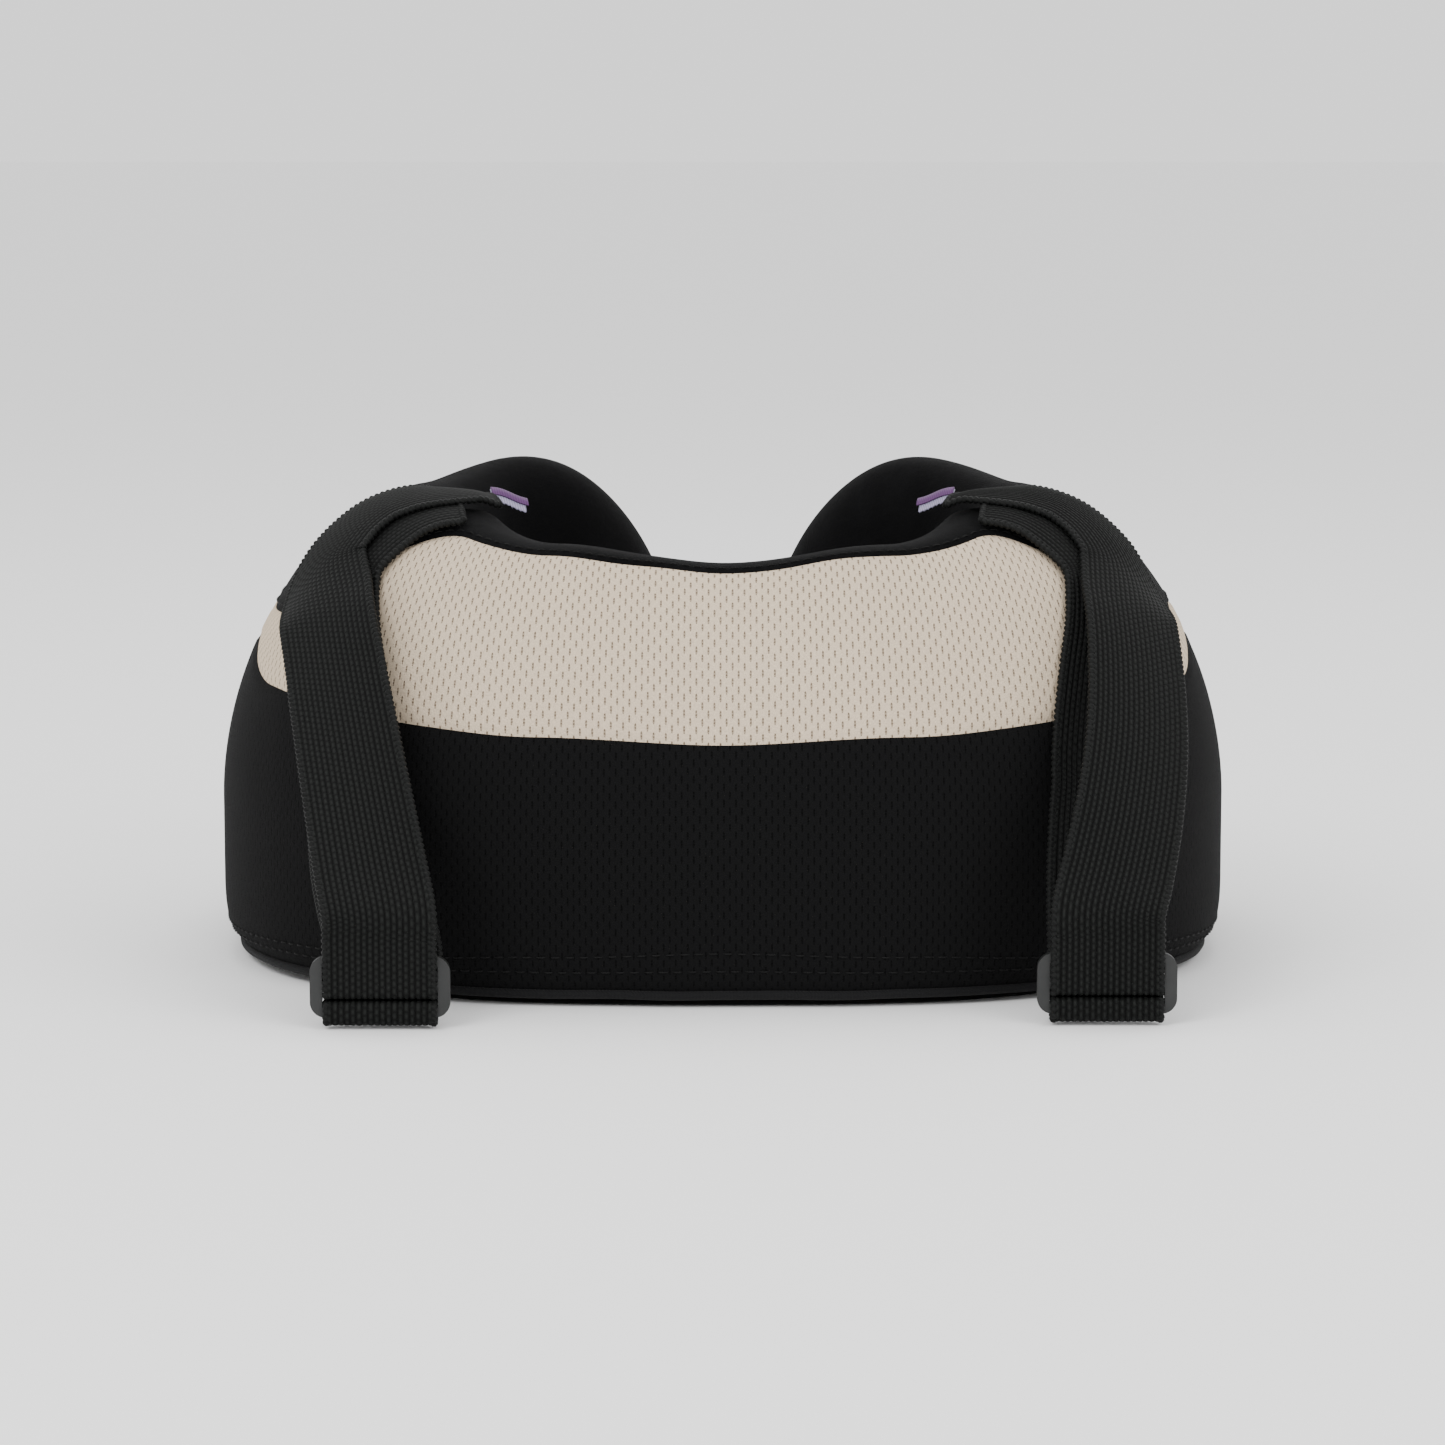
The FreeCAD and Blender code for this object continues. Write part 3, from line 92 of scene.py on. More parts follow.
LINE_X, LINE_Y, REACH = trace_centreline()
ARM = REACH[-1]
HEIGHT = [(0, 129), (50, 134), (95, 142.5), (130, 143.5), (170, 141.5), (230, 143), (300, 149), (ARM, 146)]
SHOULDER = [(0, 34), (90, 36), (150, 50), (250, 50), (ARM, 45)]
OUTER = [(0, 34), (90, 36), (150, 40), (250, 42), (ARM, 40)]
INNER = [(0, 34), (45, 38), (95, 54), (140, 48), (190, 40), (250, 42), (ARM, 40)]
RIDGE = [(0, 2), (50, -3), (95, -17), (140, -22), (240, -20), (300, -6), (ARM, -2)]
OUTER_EXPONENT = [(0, 2.3), (90, 2.1), (150, 1.85), (240, 1.85), (320, 2.1), (ARM, 2.1)]
INNER_EXPONENT = [(0, 2.5), (50, 2.6), (95, 3.1), (140, 3.0), (200, 2.5), (ARM, 2.5)]
MID_SEAM = [(0, 24), (80, 25), (125, 27), (160, 34), (ARM, 36)]
TOP_SEAM = [(0, 78), (47, 77.5), (76, 75), (100, 62), (135, 41), (200, 41), (300, 52), (ARM, 54)]


def eased(table, distance):
    """Value along the arm, eased between the table's entries."""
    places, values = np.array(table, float).T
    at = np.minimum(np.abs(distance), places[-1])
    i = np.clip(np.searchsorted(places, at) - 1, 0, len(places) - 2)
    share = (at - places[i]) / (places[i + 1] - places[i])
    return values[i] + (values[i + 1] - values[i]) * share * share * (3 - 2 * share)


def line_point(distance):
    at = np.minimum(np.abs(distance), ARM)
    return np.sign(distance) * np.interp(at, REACH, LINE_X), np.interp(at, REACH, LINE_Y)


def section_point(distance, angle):
    """Offset outwards from the centreline, and height, at an angle in degrees round the section."""
    ridge = eased(RIDGE, distance)
    c, s = np.cos(np.radians(angle)), np.sin(np.radians(angle))
    half = np.where(c >= 0, eased(OUTER, distance) - ridge, eased(INNER, distance) + ridge)
    upper = np.where(c >= 0, eased(OUTER_EXPONENT, distance), eased(INNER_EXPONENT, distance))
    low = eased(SHOULDER, distance)
    exponent = np.where(s >= 0, upper, LOWER_EXPONENT)
    offset = ridge + half * signed_power(c, 2 / exponent)
    above = low + (eased(HEIGHT, distance) - low) * np.abs(s) ** (2 / upper)
    below = LOWER_CENTRE - LOWER_DROP * np.abs(s) ** (2 / LOWER_EXPONENT)
    return offset, np.where(s >= 0, above, below)


def cushion_point(distance, angle, stand_off=0.0):
    """Points of the cushion's surface, or of a surface a little outside it, as an array (..., 3)."""
    distance, angle = np.broadcast_arrays(np.asarray(distance, float), np.asarray(angle, float))
    offset, height = section_point(distance, angle)
    if np.any(stand_off):
        a, b = section_point(distance, angle + 0.5), section_point(distance, angle - 0.5)
        du, dz = a[0] - b[0], a[1] - b[1]
        size = np.hypot(du, dz)
        offset = offset + stand_off * dz / size
        height = height - stand_off * du / size
    over = np.maximum(np.abs(distance) - stand_off - (ARM - TIP_LENGTH), 0) / TIP_LENGTH
    scale = np.maximum(1 - over ** TIP_EXPONENT, 1e-4) ** (1 / TIP_EXPONENT)
    end = ARM - 0.01
    ahead = line_point(np.minimum(distance + 3.0, end))
    behind = line_point(np.maximum(distance - 3.0, -end))
    tx, ty = ahead[0] - behind[0], ahead[1] - behind[1]
    size = np.hypot(tx, ty)
    x, y = line_point(distance)
    height = TIP_HEIGHT + (height - TIP_HEIGHT) * scale
    return np.stack([x + ty / size * offset * scale, y - tx / size * offset * scale + SHIFT_Y,
                     np.maximum(height, 0)], -1)


def outward(distance, angle):
    """Direction straight out of the surface."""
    along = cushion_point(distance + 1.0, angle) - cushion_point(distance - 1.0, angle)
    around = cushion_point(distance, angle + 1.0) - cushion_point(distance, angle - 1.0)
    normal = np.cross(along, around)
    return normal / np.maximum(np.linalg.norm(normal, axis=-1, keepdims=True), 1e-9)


def ripple(a, b, seed):
    """Smooth irregular wave between -1 and 1."""
    turns = np.random.default_rng(seed).uniform(-1, 1, (6, 3))
    waves = [np.sin(a * (0.6 + t[0] * 0.5) + b * t[1] * 0.9 + t[2] * 20) for t in turns]
    return sum(waves) / 3.2


# ---------------------------------------------------------------- mesh helpers
def mesh_object(name, points, faces, uvs=None, material=None):
    """Object from points in millimetres. uvs holds one pair for each point, in metres."""
    mesh = bpy.data.meshes.new(name)
    mesh.from_pydata((np.asarray(points, float).reshape(-1, 3) * MM).tolist(), [], faces)
    mesh.validate()
    mesh.polygons.foreach_set("use_smooth", [True] * len(mesh.polygons))
    if uvs is not None:
        corners = np.empty(len(mesh.loops), np.int32)
        mesh.loops.foreach_get("vertex_index", corners)
        layer = mesh.uv_layers.new(name="UVMap")
        layer.data.foreach_set("uv", np.asarray(uvs, np.float32).reshape(-1, 2)[corners].ravel())
    piece = bpy.data.objects.new(name, mesh)
    bpy.context.scene.collection.objects.link(piece)
    if material is not None:
        mesh.materials.append(material)
    return piece


def grid_faces(columns, rows, closed=False):
    """Quads of a grid whose points run row by row inside each column."""
    faces = []
    for i in range(columns - 1):
        for j in range(rows if closed else rows - 1):
            k = (j + 1) % rows
            a, b = i * rows, (i + 1) * rows
            faces.append((a + j, b + j, b + k, a + k))
    return faces


def unit(vectors):
    return vectors / np.maximum(np.linalg.norm(vectors, axis=-1, keepdims=True), 1e-9)


def lengths_along(points):
    steps = np.linalg.norm(np.diff(points, axis=0), axis=-1)
    return np.concatenate([[0], np.cumsum(steps)])


def resampled(points, step):
    """The same line with points a step apart."""
    reach = lengths_along(points)
    places = np.linspace(0, reach[-1], max(2, int(reach[-1] / step) + 1))
    return np.stack([np.interp(places, reach, points[:, i]) for i in range(3)], -1)


def tube(points, radii, sides=8):
    """Points and faces of a round tube along a line, capped at both ends."""
    points = np.asarray(points, float)
    radii = np.broadcast_to(radii, len(points))
    ahead = unit(np.gradient(points, axis=0))
    side = np.cross(ahead[0], [0.3, 0.2, 1.0])
    turn = np.linspace(0, 2 * math.pi, sides, endpoint=False)[:, None]
    rings = []
    for place, direction, radius in zip(points, ahead, radii):
        side = unit(side - direction * np.dot(side, direction))
        up = np.cross(direction, side)
        rings.append(place + radius * (np.cos(turn) * side + np.sin(turn) * up))
    faces = grid_faces(len(rings), sides, closed=True)
    last = (len(rings) - 1) * sides
    faces += [tuple(range(sides)), tuple(reversed(range(last, last + sides)))]
    return np.concatenate(rings), faces


def merged(parts):
    """Several (points, faces) as one."""
    points, faces, start = [], [], 0
    for part_points, part_faces in parts:
        points.append(part_points)
        faces += [tuple(v + start for v in face) for face in part_faces]
        start += len(part_points)
    return np.concatenate(points), faces


def stitch_line(points, normals, length, gap, radius, proud=0.25):
    """Stitches laid on a surface along a line: short threads that dive in at both ends."""
    reach = lengths_along(points)
    at = lambda values, place: np.array([np.interp(place, reach, values[:, i]) for i in range(3)])
    parts = []
    place = gap / 2
    while place + length < reach[-1]:
        samples = np.linspace(place, place + length, 5)
        lifts = np.array([-0.35, 0.6, 1.0, 0.6, -0.35]) * proud
        line = np.array([at(points, s) + at(normals, s) * lift for s, lift in zip(samples, lifts)])
        parts.append(tube(line, [radius * 0.7, radius, radius, radius, radius * 0.7], 6))
        place += length + gap
    return merged(parts)


# ---------------------------------------------------------------- materials
class Nodes:
    """A material's node tree with short ways to add nodes."""

    def __init__(self, name, roughness=0.6, metallic=0.0, **constants):
        self.material = bpy.data.materials.new(name)
        self.material.use_nodes = True
        self.tree = self.material.node_tree
        self.shader = self.tree.nodes["Principled BSDF"]
        self.shader.inputs["Roughness"].default_value = roughness
        self.shader.inputs["Metallic"].default_value = metallic
        for label, value in constants.items():
            self.shader.inputs[label.replace("_", " ")].default_value = value

    def add(self, kind, **settings):
        node = self.tree.nodes.new(kind)
        for label, value in settings.items():
            setattr(node, label, value)
        return node

    def plug(self, value, socket):
        if isinstance(value, bpy.types.NodeSocket):
            self.tree.links.new(value, socket)
        else:
            socket.default_value = value

    def calc(self, operation, *values):
        node = self.add("ShaderNodeMath", operation=operation)
        for value, socket in zip(values, node.inputs):
            self.plug(value, socket)
        return node.outputs[0]

    def coordinates(self, kind="Object"):
        return self.add("ShaderNodeTexCoord").outputs[kind]

    def split(self, vector):
        node = self.add("ShaderNodeSeparateXYZ")
        self.plug(vector, node.inputs[0])
        return node.outputs

    def noise(self, vector, scale, detail=2.0, rough=0.5):
        node = self.add("ShaderNodeTexNoise")
        self.plug(vector, node.inputs["Vector"])
        node.inputs["Scale"].default_value = scale
        node.inputs["Detail"].default_value = detail
        node.inputs["Roughness"].default_value = rough
        return node.outputs["Fac"]

    def cells(self, vector, scale):
        node = self.add("ShaderNodeTexVoronoi")
        self.plug(vector, node.inputs["Vector"])
        node.inputs["Scale"].default_value = scale
        return node.outputs["Distance"]

    def ramp(self, value, low, high, to_low=0.0, to_high=1.0):
        node = self.add("ShaderNodeMapRange", interpolation_type="SMOOTHSTEP")
        self.plug(value, node.inputs["Value"])
        limits = {"From Min": low, "From Max": high, "To Min": to_low, "To Max": to_high}
        for label, number in limits.items():
            node.inputs[label].default_value = number
        return node.outputs["Result"]

    def mix(self, share, first, second):
        node = self.add("ShaderNodeMix", data_type="RGBA")
        self.plug(share, node.inputs["Factor"])
        sockets = [s for s in node.inputs if s.type == "RGBA"]
        for colour, socket in zip((first, second), sockets):
            self.plug(colour if isinstance(colour, bpy.types.NodeSocket) else (*colour, 1), socket)
        return next(s for s in node.outputs if s.type == "RGBA")

    def finish(self, colour, height=None, depth=0.0002, strength=1.0, rough=None):
        self.plug(colour, self.shader.inputs["Base Color"])
        if rough is not None:
            self.plug(rough, self.shader.inputs["Roughness"])
        if height is not None:
            bump = self.add("ShaderNodeBump")
            bump.inputs["Strength"].default_value = strength
            bump.inputs["Distance"].default_value = depth
            self.plug(height, bump.inputs["Height"])
            self.tree.links.new(bump.outputs["Normal"], self.shader.inputs["Normal"])
        return self.material


def shade(colour, factor):
    return tuple(min(1.0, c * factor) for c in colour)


MESH_COLUMN, MESH_ROW = 1.75 * MM, 4.7 * MM          # spacing of the slots
SLOT_HALF_WIDTH, SLOT_HALF_HEIGHT = 0.15, 0.25       # as shares of that spacing


def air_mesh(name, colour, hole_shade, sheen):
    """Knitted spacer mesh: upright slots in brick order, each like a row of stacked dots. The slots are
    painted dark as shade inside them.
    """
    n = Nodes(name, roughness=0.82, Sheen_Weight=sheen, Sheen_Roughness=0.5, Specular_IOR_Level=0.05)
    u, v, _ = n.split(n.coordinates("UV"))
    across = n.calc("DIVIDE", u, MESH_COLUMN)
    column = n.calc("FLOOR", across)
    odd = n.calc("FLOORED_MODULO", column, 2.0)
    drift = n.calc("MULTIPLY", n.noise(n.coordinates("UV"), 420.0), 0.16)
    shift = n.calc("ADD", n.calc("MULTIPLY", odd, 0.5), drift)
    along = n.calc("ADD", n.calc("DIVIDE", v, MESH_ROW), shift)
    side = n.calc("ABSOLUTE", n.calc("SUBTRACT", n.calc("FRACT", across), 0.5))
    rise = n.calc("ABSOLUTE", n.calc("SUBTRACT", n.calc("FRACT", along), 0.5))
    reach = n.calc("ADD", n.calc("POWER", n.calc("DIVIDE", side, SLOT_HALF_WIDTH), 2.0),
                   n.calc("POWER", n.calc("DIVIDE", rise, SLOT_HALF_HEIGHT), 3.0))
    beads = n.calc("SINE", n.calc("MULTIPLY", along, 2 * math.pi * 5))
    opening = n.calc("MULTIPLY", n.ramp(reach, 0.55, 1.35, 1.0, 0.0),
                     n.calc("MULTIPLY_ADD", beads, 0.25, 0.75))
    yarn = n.ramp(n.noise(n.coordinates("UV"), 1500.0, 3.0, 0.7), 0.32, 0.68)
    patches = n.noise(n.coordinates("Object"), 16.0, 3.0)
    plain = n.mix(patches, shade(colour, 0.93), shade(colour, 1.06))
    plain = n.mix(n.calc("MULTIPLY", yarn, 0.34), plain, shade(colour, 0.62))
    height = n.calc("SUBTRACT", n.calc("MULTIPLY", yarn, 0.35), opening)
    # the slots take the painted shade colour, standing for the dark depth of each opening
    return n.finish(n.mix(n.calc("MULTIPLY", opening, 0.92), plain, hole_shade), height, 0.00045, 0.9)


def velour(name, colour, light):
    """Short pile: dark, soft-edged, with patches where the pile leans another way."""
    n = Nodes(name, roughness=0.95, Sheen_Weight=0.03, Sheen_Roughness=0.35, Specular_IOR_Level=0.05)
    where = n.coordinates()
    lean = n.ramp(n.noise(where, 26.0, 4.0, 0.6), 0.38, 0.68)
    pile = n.noise(where, 2400.0, 3.0, 0.7)
    tone = n.mix(lean, colour, light)
    tone = n.mix(n.calc("MULTIPLY", pile, 0.55), tone, shade(colour, 0.4))
    height = n.calc("ADD", pile, n.calc("MULTIPLY", n.noise(where, 300.0, 3.0), 0.9))
    return n.finish(tone, height, 0.00035, 0.8)


def plain_weave(name, colour, pitch, shine=0.03):
    n = Nodes(name, roughness=0.86, Sheen_Weight=shine, Sheen_Roughness=0.5, Specular_IOR_Level=0.2)
    x, y, z = n.split(n.coordinates())
    turn = 2 * math.pi / pitch
    first = n.calc("SINE", n.calc("MULTIPLY", n.calc("ADD", x, z), turn))
    second = n.calc("SINE", n.calc("MULTIPLY", n.calc("SUBTRACT", y, z), turn))
    weave = n.calc("MULTIPLY_ADD", n.calc("MULTIPLY", first, second), 0.5, 0.5)
    patches = n.noise(n.coordinates(), 30.0, 3.0)
    tone = n.mix(weave, shade(colour, 0.55), n.mix(patches, colour, shade(colour, 1.3)))
    return n.finish(tone, weave, 0.0002, 0.7)


def ribbed_webbing(name, colour, ribs, pitch):
    """Ribs along the webbing made of small knit bumps, with painted shade in the grooves, a painted highlight
    on the rib tops and painted glints as pale specks. Needs UVs in metres.
    """
    n = Nodes(name, roughness=0.72, Sheen_Weight=0.01, Sheen_Roughness=0.4, Specular_IOR_Level=0.12)
    u, v, _ = n.split(n.coordinates("UV"))
    across = n.calc("DIVIDE", u, ribs)
    odd = n.calc("FLOORED_MODULO", n.calc("FLOOR", across), 2.0)
    along = n.calc("ADD", n.calc("DIVIDE", v, pitch), n.calc("MULTIPLY", odd, 0.5))
    side = n.calc("ABSOLUTE", n.calc("SINE", n.calc("MULTIPLY", across, math.pi)))
    knit = n.calc("ABSOLUTE", n.calc("SINE", n.calc("MULTIPLY", along, math.pi)))
    bump = n.calc("MULTIPLY", side, n.calc("MULTIPLY_ADD", knit, 0.62, 0.38))
    fibre = n.noise(n.coordinates("UV"), 1500.0, 3.0, 0.7)
    glint_speck = n.ramp(fibre, 0.60, 0.72)
    # painted shade and highlight: grooves between ribs go almost black, rib tops lighter
    tone = n.mix(n.calc("POWER", bump, 1.6), shade(colour, 0.06), shade(colour, 1.5))
    # painted glints: scattered pale specks on the fibres
    tone = n.mix(n.calc("MULTIPLY", glint_speck, 0.45), tone, shade(colour, 4.5))
    height = n.calc("ADD", bump, n.calc("MULTIPLY", fibre, 0.35))
    return n.finish(tone, height, 0.0006, 0.9)


def thread(name, colour, twist=0.0009):
    n = Nodes(name, roughness=0.6, Sheen_Weight=0.01, Specular_IOR_Level=0.12)
    x, y, z = n.split(n.coordinates())
    lay = n.calc("SINE", n.calc("MULTIPLY", n.calc("ADD", n.calc("ADD", x, y), z), 2 * math.pi / twist))
    lay = n.calc("MULTIPLY_ADD", lay, 0.5, 0.5)
    return n.finish(n.mix(lay, shade(colour, 0.6), shade(colour, 1.2)), lay, 0.0001, 0.6)


def plastic(name, colour, roughness, grain=900.0, depth=0.00005, coat=0.0):
    n = Nodes(name, roughness=roughness, Coat_Weight=coat, Coat_Roughness=0.12, Specular_IOR_Level=0.45)
    where = n.coordinates()
    fine = n.noise(where, grain, 3.0, 0.55)
    wear = n.ramp(n.noise(where, 45.0, 5.0, 0.65), 0.45, 0.75)
    tone = n.mix(wear, colour, tuple(c * 1.12 + 0.006 for c in colour))
    rough = n.ramp(n.noise(where, 120.0, 4.0), 0.3, 0.7, roughness - 0.06, roughness + 0.08)
    return n.finish(tone, fine, depth, 0.5, rough)


def metal(name, colour, roughness, lines=1800.0):
    n = Nodes(name, roughness=roughness, metallic=1.0, Anisotropic=0.3)
    x, y, z = n.split(n.coordinates())
    stretched = n.add("ShaderNodeCombineXYZ")
    for value, socket, factor in zip((x, y, z), stretched.inputs, (1.0, 0.06, 1.0)):
        n.plug(n.calc("MULTIPLY", value, factor), socket)
    brushed = n.noise(stretched.outputs[0], lines, 2.0, 0.6)
    tone = n.mix(n.noise(n.coordinates(), 60.0, 4.0), shade(colour, 0.9), shade(colour, 1.06))
    rough = n.ramp(brushed, 0.3, 0.7, roughness - 0.07, roughness + 0.1)
    return n.finish(tone, brushed, 0.00003, 0.35, rough)


def foam(name, colour):
    n = Nodes(name, roughness=0.95, Specular_IOR_Level=0.15, Subsurface_Weight=0.1, Subsurface_Scale=0.004)
    where = n.coordinates()
    pores = n.cells(where, 900.0)
    tone = n.mix(n.noise(where, 22.0, 3.0), shade(colour, 0.94), shade(colour, 1.03))
    tone = n.mix(n.ramp(pores, 0.0, 0.5, 0.5, 0.0), tone, shade(colour, 0.55))
    return n.finish(tone, pores, 0.0003, 0.7)


def circuit_board(name, colour):
    n = Nodes(name, roughness=0.38, Coat_Weight=0.4, Coat_Roughness=0.2)
    where = n.coordinates()
    copper = n.ramp(n.cells(where, 620.0), 0.16, 0.24)
    tone = n.mix(copper, shade(colour, 1.9), n.mix(n.noise(where, 90.0), colour, shade(colour, 0.7)))
    return n.finish(tone, copper, 0.00006, 0.5)


def clear_lens(name):
    n = Nodes(name, roughness=0.12, Transmission_Weight=0.85, IOR=1.49)
    milk = n.noise(n.coordinates(), 500.0, 2.0)
    return n.finish(n.mix(milk, (0.72, 0.82, 0.94), (0.86, 0.92, 0.98)), milk, 0.00003, 0.3)


def label_satin(name, colour):
    n = Nodes(name, roughness=0.5, Sheen_Weight=0.1, Specular_IOR_Level=0.4)
    x, y, z = n.split(n.coordinates())
    slant = n.calc("ADD", x, n.calc("MULTIPLY", z, 0.3))
    weave = n.calc("SINE", n.calc("MULTIPLY", slant, 2 * math.pi / 0.0007))
    weave = n.calc("MULTIPLY_ADD", weave, 0.5, 0.5)
    return n.finish(n.mix(weave, shade(colour, 0.7), shade(colour, 1.15)), weave, 0.0001, 0.5)


MATERIALS = {
    "velour": velour("black_velour", (0.0026, 0.0026, 0.0028), (0.0052, 0.0052, 0.0056)),
    # each air mesh's third colour is painted shade inside its slots
    "mesh_black": air_mesh("black_air_mesh", (0.0052, 0.0052, 0.0054), (0.0005, 0.0005, 0.0005), 0.01),
    "mesh_beige": air_mesh("beige_air_mesh", (0.66, 0.535, 0.395), (0.12, 0.085, 0.055), 0.04),
    "base_fabric": plain_weave("base_weave", (0.008, 0.008, 0.009), 0.0016),
    "piping": plain_weave("piping_weave", (0.0045, 0.0045, 0.005), 0.0010, 0.03),
    "webbing": ribbed_webbing("ribbed_webbing", (0.0062, 0.0068, 0.0063), 0.00175, 0.0021),
    "glide_plastic": plastic("glide_acetal", (0.0085, 0.0092, 0.0090), 0.46, 700.0),
    "tag_fabric": label_satin("purple_satin", (0.070, 0.014, 0.095)),
    "zip": plain_weave("zip_tape", (0.012, 0.012, 0.012), 0.0009),
    "zip_metal": plastic("zip_paint", (0.015, 0.015, 0.016), 0.32, coat=0.4),
    "foam": foam("moulded_foam", (0.80, 0.74, 0.58)),
    "gear_plastic": plastic("gear_acetal", (0.80, 0.76, 0.68), 0.42),
    "steel": metal("plated_steel", (0.62, 0.62, 0.63), 0.28),
    "bronze": metal("sintered_bronze", (0.50, 0.34, 0.16), 0.45, 2600.0),
    "ball_plastic": plastic("ball_moulding", (0.02, 0.02, 0.023), 0.35, 600.0),
    "housing_plastic": plastic("housing_moulding", (0.022, 0.022, 0.025), 0.55, 1300.0, 0.0001),
    "motor_steel": metal("drawn_steel", (0.55, 0.55, 0.57), 0.32),
    "motor_cap": plastic("motor_cap_moulding", (0.012, 0.012, 0.012), 0.5),
    "cell_wrap": plastic("cell_wrap", (0.03, 0.13, 0.36), 0.25, 300.0, coat=0.5),
    "bezel_plastic": plastic("bezel_moulding", (0.010, 0.010, 0.011), 0.18, 500.0, coat=0.6),
    "button_plastic": plastic("button_moulding", (0.045, 0.045, 0.05), 0.45, 1000.0),
    "board": circuit_board("solder_mask", (0.006, 0.075, 0.025)),
    "switch_plastic": plastic("switch_moulding", (0.01, 0.01, 0.01), 0.45),
    "socket_shell": metal("stamped_steel", (0.60, 0.60, 0.62), 0.25),
    "lens": clear_lens("status_lens"),
    "lead_insulation": plastic("lead_insulation", (0.012, 0.012, 0.012), 0.6, 1500.0),
}
LABEL_UPPER = MATERIALS["tag_fabric"]
LABEL_UNDER = label_satin("lavender_satin", (0.27, 0.25, 0.36))
THREAD_BLACK = thread("black_thread", (0.006, 0.006, 0.006))
EDGE_CORD = thread("selvedge_cord", (0.0050, 0.0054, 0.0051), 0.0016)
PRINT_WHITE = plastic("printed_mark", (0.72, 0.72, 0.72), 0.5)

for entry in frame["record"]["subparts"]:
    node = frame["nodes"][entry["node"]]
    node.data.materials.clear()
    node.data.materials.append(MATERIALS[entry["material_slot"]])

# ---------------------------------------------------------------- how far the cover stands out
INSET = 1.3                                # how far the seams pull in, millimetres
SWELL_CAP = 3.4                            # the most that a panel can swell, millimetres
CLOTH_GRID = 5.0                           # size of the cloth's faces, millimetres
SEAM_HOLD, BASE_HOLD = 5.5, 3.0            # how near a seam, and how low, cloth is held
CLOTH_STEPS = 20
BLUR = 0.0008                              # evens out the cloth's points, metres
CLOTH = {
    "quality": 4,
    "mass": 0.25,
    "tension_stiffness": 12,
    "compression_stiffness": 12,
    "shear_stiffness": 4,
    "bending_stiffness": 0.4,
    "use_pressure": True,
    "uniform_pressure_force": 4,
}


def seam_points():
    distances = np.linspace(-ARM + 1, ARM - 1, 400)
    angles = [eased(MID_SEAM, distances), eased(TOP_SEAM, distances), np.full(400, PIPING_ANGLE)]
    return np.concatenate([cushion_point(distances, a) for a in angles])


def tree_of(points):
    tree = KDTree(len(points))
    for i, point in enumerate(points):
        tree.insert(point, i)
    tree.balance()
    return tree


def closed_cover():
    """The whole cover as one closed mesh, everywhere pulled in as far as its seams are."""
    distances = np.linspace(-ARM + 0.6, ARM - 0.6, 161)
    angles = np.linspace(0, 360, 72, endpoint=False)
    grid = cushion_point(distances[:, None], angles[None, :], -INSET)
    columns, rows = grid.shape[:2]
    points = np.concatenate([grid.reshape(-1, 3), [grid[0].mean(0), grid[-1].mean(0)]])
    faces = grid_faces(columns, rows, closed=True)
    first_tip, last_tip = columns * rows, columns * rows + 1
    last_column = first_tip - rows
    for j in range(rows):
        k = (j + 1) % rows
        faces.append((first_tip, j, k))
        faces.append((last_tip, last_column + k, last_column + j))
    return mesh_object("cover_for_cloth", points, faces)


def swollen_cover():
    """Blows the closed cover up as cloth held at its seams. Returns a tree of points and their swelling."""
    cover = closed_cover()
    bpy.context.view_layer.objects.active = cover
    cover.select_set(True)
    cover.data.remesh_voxel_size = CLOTH_GRID * MM
    bpy.ops.object.voxel_remesh()
    rest = np.array([v.co for v in cover.data.vertices])
    seams = tree_of(seam_points() * MM)
    held = cover.vertex_groups.new(name="held")
    for i, point in enumerate(rest):
        if point[2] < BASE_HOLD * MM or seams.find(point)[2] < SEAM_HOLD * MM:
            held.add([i], 1.0, "REPLACE")
    cloth = cover.modifiers.new("cloth", "CLOTH")
    for label, value in CLOTH.items():
        setattr(cloth.settings, label, value)
    cloth.settings.vertex_group_mass = "held"
    cloth.settings.effector_weights.gravity = 0
    cloth.collision_settings.use_collision = False
    scene = bpy.context.scene
    for step in range(1, CLOTH_STEPS + 1):
        scene.frame_set(step)
    result = cover.evaluated_get(bpy.context.evaluated_depsgraph_get()).data
    moved = np.array([v.co for v in result.vertices]) - rest
    normals = np.array([v.normal for v in cover.data.vertices])
    swell = np.sum(moved * normals, axis=1) / MM
    swell = SWELL_CAP * (1 - np.exp(-np.maximum(swell, 0) / SWELL_CAP))
    scene.frame_set(1)
    bpy.data.objects.remove(cover)
    return tree_of(rest), swell


SWOLLEN = swollen_cover()


def swelling(points, from_edge):
    if SWOLLEN is None:
        return SWELL_CAP * 0.8 * (1 - np.exp(-(from_edge / 9.0) ** 1.4))
    tree, swell = SWOLLEN
    flat = points.reshape(-1, 3)
    out = np.empty(len(flat))
    for i, point in enumerate(flat):
        near = tree.find_n(point * MM, 6)
        weights = [1 / (distance + BLUR) for _, _, distance in near]
        out[i] = sum(w * swell[index] for w, (_, index, _) in zip(weights, near)) / sum(weights)
    return out.reshape(points.shape[:-1])


BALLS = []               # centres of the massage balls, across and up, in millimetres
for side in SIDES:
    for place in ("outer", "inner"):
        low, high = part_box(f"massage_ball_{side}_{place}")
        BALLS.append(((low[0] + high[0]) / 2 / MM, (low[2] + high[2]) / 2 / MM))

PANEL_STEP = 2.0
TIP_COLUMNS, LAST_COLUMN = 46, 0.4                   # columns in a tip, and where the last one stops
PUCKER, WAVE, SEAM_DIP = 0.35, 0.35, 0.7             # heights of the small unevenness
BALL_BULGE, BALL_SPREAD = 2.6, 10.0                  # the massage balls press the inner wall out
NAPE_Y = -20.0                                       # the nape's inner wall lies behind this
RIM_FLAT, RIM_FALL, RIM_PROUD = 1.5, 13.0, 0.3       # how the cover meets the control panel


